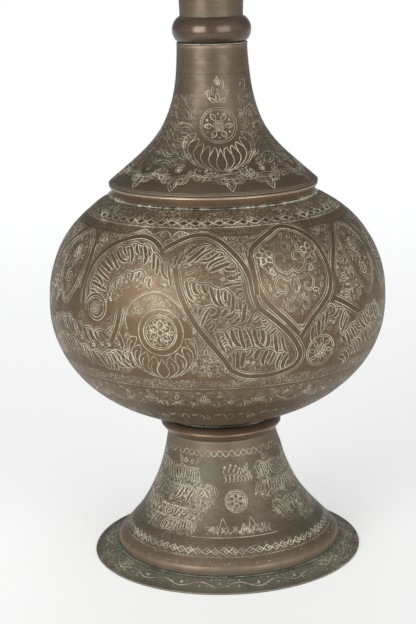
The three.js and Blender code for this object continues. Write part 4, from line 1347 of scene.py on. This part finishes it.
def bulbFar(guide):
    k = newWork(guide)
    fillPanel(k, [(43.8, 203), (43.4, 219), (46.5, 229), (50.6, 237), (51.6, 226), (54, 212), (56.5, 205.6),
        (52.6, 196.6), (47.5, 200.5)], (4.2, 3.2, 2.3, 1.6, 1.1), 61, 0.95, 0.75, ground=0.4)
    fillPanel(k, [(40.5, 248), (54.5, 248), (51.5, 245), (48, 240), (44, 233.4), (42.6, 238), (41.4, 243)],
        (2.0, 1.4, 1.0), 62, 0.75, 0.65)
    scratched(k, [(31, 190), (35.5, 198.5), (39.4, 202.6), (45, 196.6), (48.6, 191), (45, 180.6), (36, 182.4),
        (30.5, 182)])
    tongues(k, [(46.6, 191.6), (42.6, 197), (38.6, 200), (34.6, 195), (31.4, 190)], 13, 63, lean=-18)
    press(k, [ring(11.2), ring(9.9)] + rosette(4.6, 6, (1.0,)), 34.6, 171, 0.9, 0.75)
    petals = [laid(leaf(5.0, 2.6, 0.15, False), a, at(4.8, a))[0] for a in turnsOf(8)]
    press(k, petals, 34.6, 171, 0.85, 0.75)
    scratched(k, [(42, 177), (50, 186), (56.4, 196), (60, 199.5), (64, 196), (68, 186), (68, 163), (60, 160.6),
        (44, 160.6), (40.6, 168)])
    for low, seed in ((190, 64), (176, 66)):
        points = [(66, low + 1), (60, low + 2), (54, low - 1), (48, low - 7), (43, low - 12)]
        tongues(k, points, 13, seed, lean=24)
    # Medallion between two cells
    half = [(60, 247), (55.4, 243), (52.4, 235), (52.2, 225), (54.4, 213), (57.4, 205), (60, 199.6)]
    for points in (half, [(120 - x, y) for x, y in half]):
        strap(k, points, 1.0, 0.9)
    press(k, rosette(5.6, 6, (1.0,)), 60, 233, 0.95, 0.8)
    press(k, [curl(5.2, 2.0, 0.16, 90, 1), leaf(5, 2.6, 0.2)[0] + (0, 6)], 60, 218, 1.0, 0.95)
    fillPanel(k, [(60, 245), (56, 240.6), (54, 233), (54, 226), (56, 214), (60, 203), (64, 214), (66, 226),
            (66, 233), (64, 240.6)], (2.4, 1.8, 1.3, 0.9), 65, 0.85, 0.7,
        taken=[(0, 8.5, 6.2), (0, -8.5, 5.6)], ground=0.4)
    return k

def bulbWork():
    guide = guideOf(bulbPath())
    parts = (bulbStraps, bulbRoundel, bulbClouds, bulbLeft, bulbMiddle, bulbRight, bulbFar)
    cell = joined(*(part(guide) for part in parts))
    return joined(bulbBorders(guide), around(cell, bulbCut["cells"]))


# Ornament of the bell: roundels in lotus crowns, with garlands of curls and pendants below

bellCut = dict(cells=3, roundel=(6, 313), pendants=(-50.5, -24.5, 10.3, 35), curls=(-63, -37.5, -7, 22.6, 47))
bellLines = ((347, 0.6, 0.4), (356.5, 0.6, 0.35, -28, 8), (271.8, 0.7, 0.5))  # height, width, tone, ends
sideSprays = (([(-60, 287), (-20, 287), (-22, 298), (-60, 298)], 70, 81),
    ([(-60, 298), (-25, 298), (-19, 316), (-60, 316)], 62, 85),
    ([(-60, 316), (-20, 316), (-24, 333), (-60, 333)], 40, 86))  # outline, lean and seed

def bellCell(guide):
    k, spot = newWork(guide), bellCut["roundel"]
    press(k, [ring(12.8), ring(11.3)] + rosette(3.6, 5, (1.0,)), *spot, 0.85, 0.7)
    for a in turnsOf(6, 30):
        press(k, laid([comma(6.2, 0.35), comma(6.2, -0.35)], a, at(4.2, a)), *spot, 0.85, 0.7)
        press(k, [ring(0.6, 0.5) + at(8.6, a + 30), ring(1.1, 0.6) + at(8.4, a)], *spot, 0.8, 0.7)
    press(k, lotus(16.6, 37, 5, 14.5, 7, False), *spot, 0.9, 0.76)
    bowl = [(-9.6, -33.6), (-12, -36.4), (-7, -37.8), (0, -38.6), (7, -37.8), (12, -36.4), (9.6, -33.6)]
    press(k, [curveThrough(bowl)], *spot, 0.9, 0.74)
    curls = [curl(size, turns, 0.2, start, hand) + (-hand * x, y) for size, turns, start, x, y in (
        (3.4, 1.5, 90, 22, -22), (2.6, 1.4, 0, 25, -14)) for hand in (1, -1)]
    press(k, curls, *spot, 0.8, 0.7)
    # Garland: a double line in waves, and from it pendants between curls
    for low, tone in ((282.6, 0.8), (281, 0.55)):
        drawLine(k, [(x, low + 0.9 * np.cos(rad((x - 10) * 14))) for x in range(-60, 62, 3)], 1.2, 0.8, tone)
    for x in bellCut["pendants"]:
        for flip in (-1, 1):
            stems(k, [curl(4.6, 1.3, 0.3, 90, 1)], x - flip * 4.8, 280.4, 1.0, flip, 0.85)
            tuft = [curl(3.0, 1.4, 0.25, 90, -1), comma(6, 0.35) + (-3.4, 0), ring(0.7, 0.6) + (-5, 3)]
            press(k, tuft, x - flip * 10, 284, 0.9, 0.8, flip=flip)
        press(k, trefoil(8.8), x, 281, 0.95, 0.9)
        press(k, trefoil(4.2), x, 279.4, 0.8, 0.7)
        press(k, palmette(5.6, 3, 90), x, 284.6, 0.8, 0.7)
    for x in bellCut["curls"]:
        horns = [curl(3.4, 1.5, 0.25, 0, 1) + (-3.2, 3.4), curl(3.4, 1.5, 0.25, 180, -1) + (3.2, 3.4)]
        press(k, horns + [comma(5.5, 0.3)], x, 279.4, 0.9, 0.8)
    # Side arabesques and the crown over the roundel
    for outline, lean, seed in sideSprays:
        mirrored = np.minimum([(12 - x, y) for x, y in outline], (60, 999))
        for place, hand, dice in ((outline, 1, seed), (mirrored, -1, seed + 10)):
            fillPanel(k, place, (2.4, 1.8, 1.3, 1.0), dice, 0.9, 0.64, hand * lean, ground=0.35)
    fillPanel(k, [(38, 334), (60, 334), (60, 345), (44, 345)], (1.6, 1.2, 0.9), 87, 0.8, 0.58, -35, ground=0.15)
    for flip in (-1, 1):
        press(k, laid(leaf(5, 2.2, 0.2 * flip, False), -flip * 35), 6 + flip * 4, 328, 0.75, 0.64)
        press(k, [curl(2.2, 1.3, 0.25, 90, flip) + (flip * 3.4, 0)], 6 + flip * 7, 335, 0.75, 0.6)
    press(k, leaf(7.5, 2.8, rib=False) + [ring(0.6, 0.5) + (0, 9)], 6, 328, 0.75, 0.64)
    press(k, palmette(6, 3, 80), 6, 340, 0.75, 0.62)
    crown = [(-10, 327), (22, 327), (26, 336), (6, 349), (-14, 336)]
    fillPanel(k, crown, (1.4, 1.0), 88, 0.75, 0.56, 5, ground=0.12)
    return k

def bellWork():
    work = around(bellCell(guideOf(bellCone())), bellCut["cells"])
    for line in bellLines:
        roundLine(work, *line)
    return work


# Pale specks strewn over a sheet between two running lengths.
def specks(work, low, high, count, seed):
    dice = np.random.default_rng(seed)
    angles, runs = dice.uniform(0, 2 * np.pi, count), dice.uniform(low, high, count)
    for angle, run, size in zip(angles, runs, dice.uniform(0.6, 1.5, count)):
        dash = laid([np.array([(-0.4, 0), (0, 0.1), (0.4, 0)]) * size], dice.uniform(0, 360))[0]
        across = angle + dash[:, 0] / read(work["guide"], "radius", run)
        work["lines"].append((np.stack([across, run + dash[:, 1]], 1), size, 1.0))


# Ornament of the foot: zigzags at the top and bottom, panels and roundels between them

footCut = dict(cells=3, roundel=(8.5, 50.5), crossings=72, specks=150)
footFields = (([(-62, 72), (-26, 72), (-19, 60), (-9, 62), (-8, 50), (-20, 38), (-62, 38)], 0.85),
    ([(-62, 38), (-20, 38), (-24, 29), (-62, 29)], 0.7),
    ([(29, 73), (58, 73), (58, 47), (34, 46), (27, 56)], 0.9),
    ([(37, 45.4), (58, 45.4), (58, 31), (44, 33), (35, 39)], 0.8))
# Rows of tongues: first and last turn, height, height of the tongues and seed
footRows = ((-24, -60, 71, 8.5, 91), (-18, -60, 58, 9.5, 92), (-9, -18, 60, 7, 90), (-18, -60, 44, 5, 93),
    (-22, -60, 36.4, 6.5, 94), (58, 31, 73, 9.5, 95), (58, 29, 60, 10, 98), (58, 37, 46, 10, 96))

def footCell(guide):
    k = newWork(guide)
    for phase in (0, 6):
        chain = [(x, 82.3 + 2.1 * np.sin(rad((x + phase) * 30))) for x in range(-60, 62, 2)]
        drawLine(k, chain, 1.0, 0.95, 0.62)
    for spot, hand in (((-42, 74), 1), ((-28, 74), -1), ((44, 75), 1)):
        sprig = leaf(6, 3, 0.4 * hand) + [curl(2, 1.3, 0.25, 0, hand) + (3 * hand, -1)]
        press(k, sprig, *spot, 0.9, 0.75, 60 * hand)
    # Left and right panels: rows of tongues between broken lines
    for field in footFields:
        scratched(k, *field)
    for start, end, height, tall, seed in footRows:
        line = [(start + (end - start) * t, height + 0.8 * np.sin(t * 9 + seed)) for t in np.linspace(0, 1, 7)]
        tongues(k, line, tall, seed, 3.0, 1.0, 18 * np.sin(seed), 0.9)
    for height, start, end in ((59, -60, -30), (44.7, -58, -21), (37.7, -60, -36), (71.6, -50, -24)):
        roundLine(k, height, 0.85, 0.8, start, end)
    # Crown of upright strokes, roundel, and pointed leaves over the lower band
    for x in np.arange(0, 25, 3.4):
        tall = 9.5 + 1.5 * np.sin(x * 2.2)
        strokes = [comma(tall * 0.55, 0.3), comma(tall * 0.4, -0.3) + (0.4, tall * 0.62),
            comma(tall * 0.6, -0.2) + (1.5, 0.8), ring(0.6, 0.5) + (0.4, tall + 1.4)]
        press(k, strokes, x, 62.5, 1.1, 0.88, 16 * np.sin(x * 1.7))
    press(k, rosette(8.0, 6, (1.0, 0.87)), *footCut["roundel"], 0.85, 0.78)
    press(k, [comma(2.4, 0.3) + at(6.1, a) for a in turnsOf(10)], *footCut["roundel"], 0.75, 0.8)
    for x, top in ((-10, 36), (-3, 40.5), (5, 35), (11, 37), (17, 40.5), (24, 36)):
        peak = [(x - 4, 30.8), (x - 1, top - 2), (x, top), (x + 1, top - 2), (x + 4, 30.8)]
        drawLine(k, peak, 1.2, 0.95, 0.8)
        tuft = [comma(4.6, 0.3) + (-1.4, 0), comma(3.6, -0.3) + (1.2, 0.6), comma(2.6, 0.2) + (3.4, 0)]
        press(k, tuft, x, 31.4, 1.05, 0.85, 9 * np.sin(x))
    fillPanel(k, [(-16, 36), (-14, 30), (30, 30), (29, 36)], (1.4, 1.0, 0.8), 97, 0.8, 0.7, ground=0.25)
    roundLine(k, 29, 0.8, 0.7, -24, 32)
    press(k, [ring(3.5), ring(2.1)], -41, 25.6, 0.8, 0.5)
    press(k, [ring(2.4)], 47, 28, 0.8, 0.5)
    return k

def footWork():
    work = around(footCell(guideOf(pedestalPath())), footCut["cells"])
    chain = crossing(6.6, 5.2) + [ring(0.5, 0.5) + (3.3, 0)]
    row(work, lambda i: chain, 21.4, footCut["crossings"], 0, 1.15, 0.85)
    specks(work, 6, 22, footCut["specks"], 99)
    for low, high, strength in ((17.6, 25, 0.35), (79.5, 85, 0.2), (29, 79, 0.12)):
        for middle in (-120, 0, 120):
            scratched(work, fieldOf(middle - 60, middle + 60, low, high), strength)
    roundLine(work, 24.6, 0.7, 0.35)
    roundLine(work, 18.3, 0.8, 0.65)
    return work


# Ornament of the brim: a wave with a dot in each bay

brimWave = dict(waves=20, middle=88.2, depth=2.3, dot=0.7, specks=420,
    scratches=((-90, 0.75), (90, 1.0), (0, 0.05)))  # turn and strength

def brimWork():
    top = np.array([(brim["landStart"], brim["sheet"]), (brim["seatOuter"], brim["rise"] + brim["sheet"])])
    work, waves, depth = newWork(guideOf(evenSteps(top, 1.0))), brimWave["waves"], brimWave["depth"]
    middle = (brim["landStart"] - brimWave["middle"]) * 1.05
    turn = np.linspace(0, 2 * np.pi, waves * 24 + 1)
    wave = middle + depth * np.sin(waves * turn) * (1 + 0.15 * np.sin(3 * turn + 1))
    work["lines"].append((np.stack([turn, wave], 1), 1.1, 0.75))
    for k in range(2 * waves):
        dot = ring(brimWave["dot"], 0.7) + (0, middle - (-1)**k * depth * 0.55)
        angle = (k + 0.5) * np.pi / waves + dot[:, 0] / brimWave["middle"]
        work["lines"].append((np.stack([angle, dot[:, 1]], 1), 1.3, 0.9))
    specks(work, 0.6, work["guide"]["run"][-1] - 0.6, brimWave["specks"], 98)
    for side, strength in brimWave["scratches"]:
        scratched(work, fieldOf(side - 45, side + 45, 0.5, 6), strength)
    return work


# All pieces, from the table up

bulbPen, bellPen, footPen, brimPen = bulbWork(), bellWork(), footWork(), brimWork()
print("ornament drawn")
makeBrim(groundOf(brimPen))
makeSeam("foot_brim_seam", brimSeam, dullSolder, "foot_brim_solder", 11)
makeSheet("foot_pedestal_sheet", pedestal, pedestalPath(), "duskyBrass", "foot_pedestal",
    groundOf(footPen))
makeCollar()
makeSeam("foot_solder_bed", footSolder, darkSolder, "foot_solder", 12)
print("foot made")
makeSheet("body_bulb_sheet", bulb, bulbPath(), "brownBrass", "body_bulb", groundOf(bulbPen))
makeSeam("shoulder_seam", shoulderSeam, paleSolder, "shoulder_solder", 13)
makeBand()
print("bulb made")
makeBell(groundOf(bellPen))
makeSeam("neck_seam", neckSeam, paleSolder, "neck_solder", 14)
makeBead()
makeSheet("neck_trumpet_sheet", upperNeck, neckPath(), "neckBrass", "neck_trumpet")
makeWire()
print("neck made")
strips("body_engraving", bulbPen, finishes["brownBrass"], 71)
strips("neck_engraving", bellPen, finishes["neckBrass"], 72)
strips("foot_engraving", footPen, finishes["duskyBrass"], 73)
strips("brim_engraving", brimPen, finishes["greenedBrass"], 74)


# Studio: pale floor, two soft boxes in front, a dim room, and white behind for the camera

studio = dict(leftTurn=-37, rightTurn=36, leftPower=6.9, rightPower=3.7, boxAway=1.1, boxHeight=0.56,
    boxSize=(0.62, 0.75), aim=(0, 0, 0.24), roomLow=0.9, roomHigh=0.62, roomBack=0.3, roomSides=0.25,
    behind=1.0, floorSize=24, floorTone=(0.84, 0.85, 0.845), floorRough=0.8, glowFrom=(0, -0.3, 0),
    glowLeast=0.2, glowNear=0.26, nearSpan=(0.08, 0.42), glowFar=0.25, farSpan=(0.4, 2.2), lift=0.24)

# A soft box at a turn from the front, aimed at the vase.
def softBox(name, turn, power):
    data = bpy.data.lights.new(name, "AREA")
    data.shape, (data.size, data.size_y) = "RECTANGLE", studio["boxSize"]
    data.energy = power
    light = bpy.data.objects.new(name, data)
    x, y = studio["boxAway"] * np.sin(rad(turn)), -studio["boxAway"] * np.cos(rad(turn))
    light.location = (x, y, studio["boxHeight"])
    light.rotation_euler = (light.location - Vector(studio["aim"])).to_track_quat("Z", "Y").to_euler()
    bpy.context.scene.collection.objects.link(light)

# One value for what the camera sees itself, and another for light and reflections.
def seenOr(tree, seen, others):
    direct = node(tree, "LightPath").outputs["Is Camera Ray"]
    return node(tree, "Mix", {0: direct, 2: others, 3: seen}).outputs[0]

# The room darkens upwards and behind the vase. Camera rays see plain white instead.
def makeRoom():
    world = bpy.data.worlds.new("room")
    world.use_nodes = True
    tree = world.node_tree
    look = node(tree, "TexCoord").outputs["Generated"]
    towards = node(tree, "SeparateXYZ", {0: look}).outputs
    upwards = ranged(tree, towards[2], -0.2, 0.7, studio["roomLow"], studio["roomHigh"])
    backwards = ranged(tree, towards[1], -0.4, 0.7, 1.0, studio["roomBack"])
    sideways = ranged(tree, math(tree, "ABSOLUTE", towards[0]), 0.4, 0.95, 1.0, 1 + studio["roomSides"])
    strength = seenOr(tree, studio["behind"], times(tree, upwards, backwards, sideways))
    tree.links.new(strength, tree.nodes["Background"].inputs["Strength"])
    tree.nodes["Background"].inputs["Color"].default_value = (1, 1, 1, 1)
    bpy.context.scene.world = world

# The floor glows a little more with the distance from the vase, so that it stays pale and even.
def makeFloor():
    half, tone = studio["floorSize"] / 2, (*studio["floorTone"], 1)
    mesh = bpy.data.meshes.new("floor")
    edges = [(-half, -half, 0), (half, -half, 0), (half, half, 0), (-half, half, 0)]
    mesh.from_pydata(edges, [], [(0, 1, 2, 3)])
    floor = bpy.data.objects.new("floor", mesh)
    bpy.context.scene.collection.objects.link(floor)
    material, tree, shader = principled("paleFloor")
    shader.inputs["Base Color"].default_value = shader.inputs["Emission Color"].default_value = tone
    shader.inputs["Roughness"].default_value = studio["floorRough"]
    ends = {0: node(tree, "TexCoord").outputs["Object"], 1: studio["glowFrom"]}
    away = node(tree, "VectorMath", ends, operation="DISTANCE").outputs["Value"]
    near = ranged(tree, away, *studio["nearSpan"], 0, studio["glowNear"])
    far = ranged(tree, away, *studio["farSpan"], 0, studio["glowFar"])
    glow = seenOr(tree, plus(tree, near, far, studio["glowLeast"]), studio["lift"])
    tree.links.new(glow, shader.inputs["Emission Strength"])
    mesh.materials.append(material)

softBox("leftBox", studio["leftTurn"], studio["leftPower"])
softBox("rightBox", studio["rightTurn"], studio["rightPower"])
makeRoom()
makeFloor()
bpy.context.scene.view_settings.view_transform = "Standard"
print("studio lit")
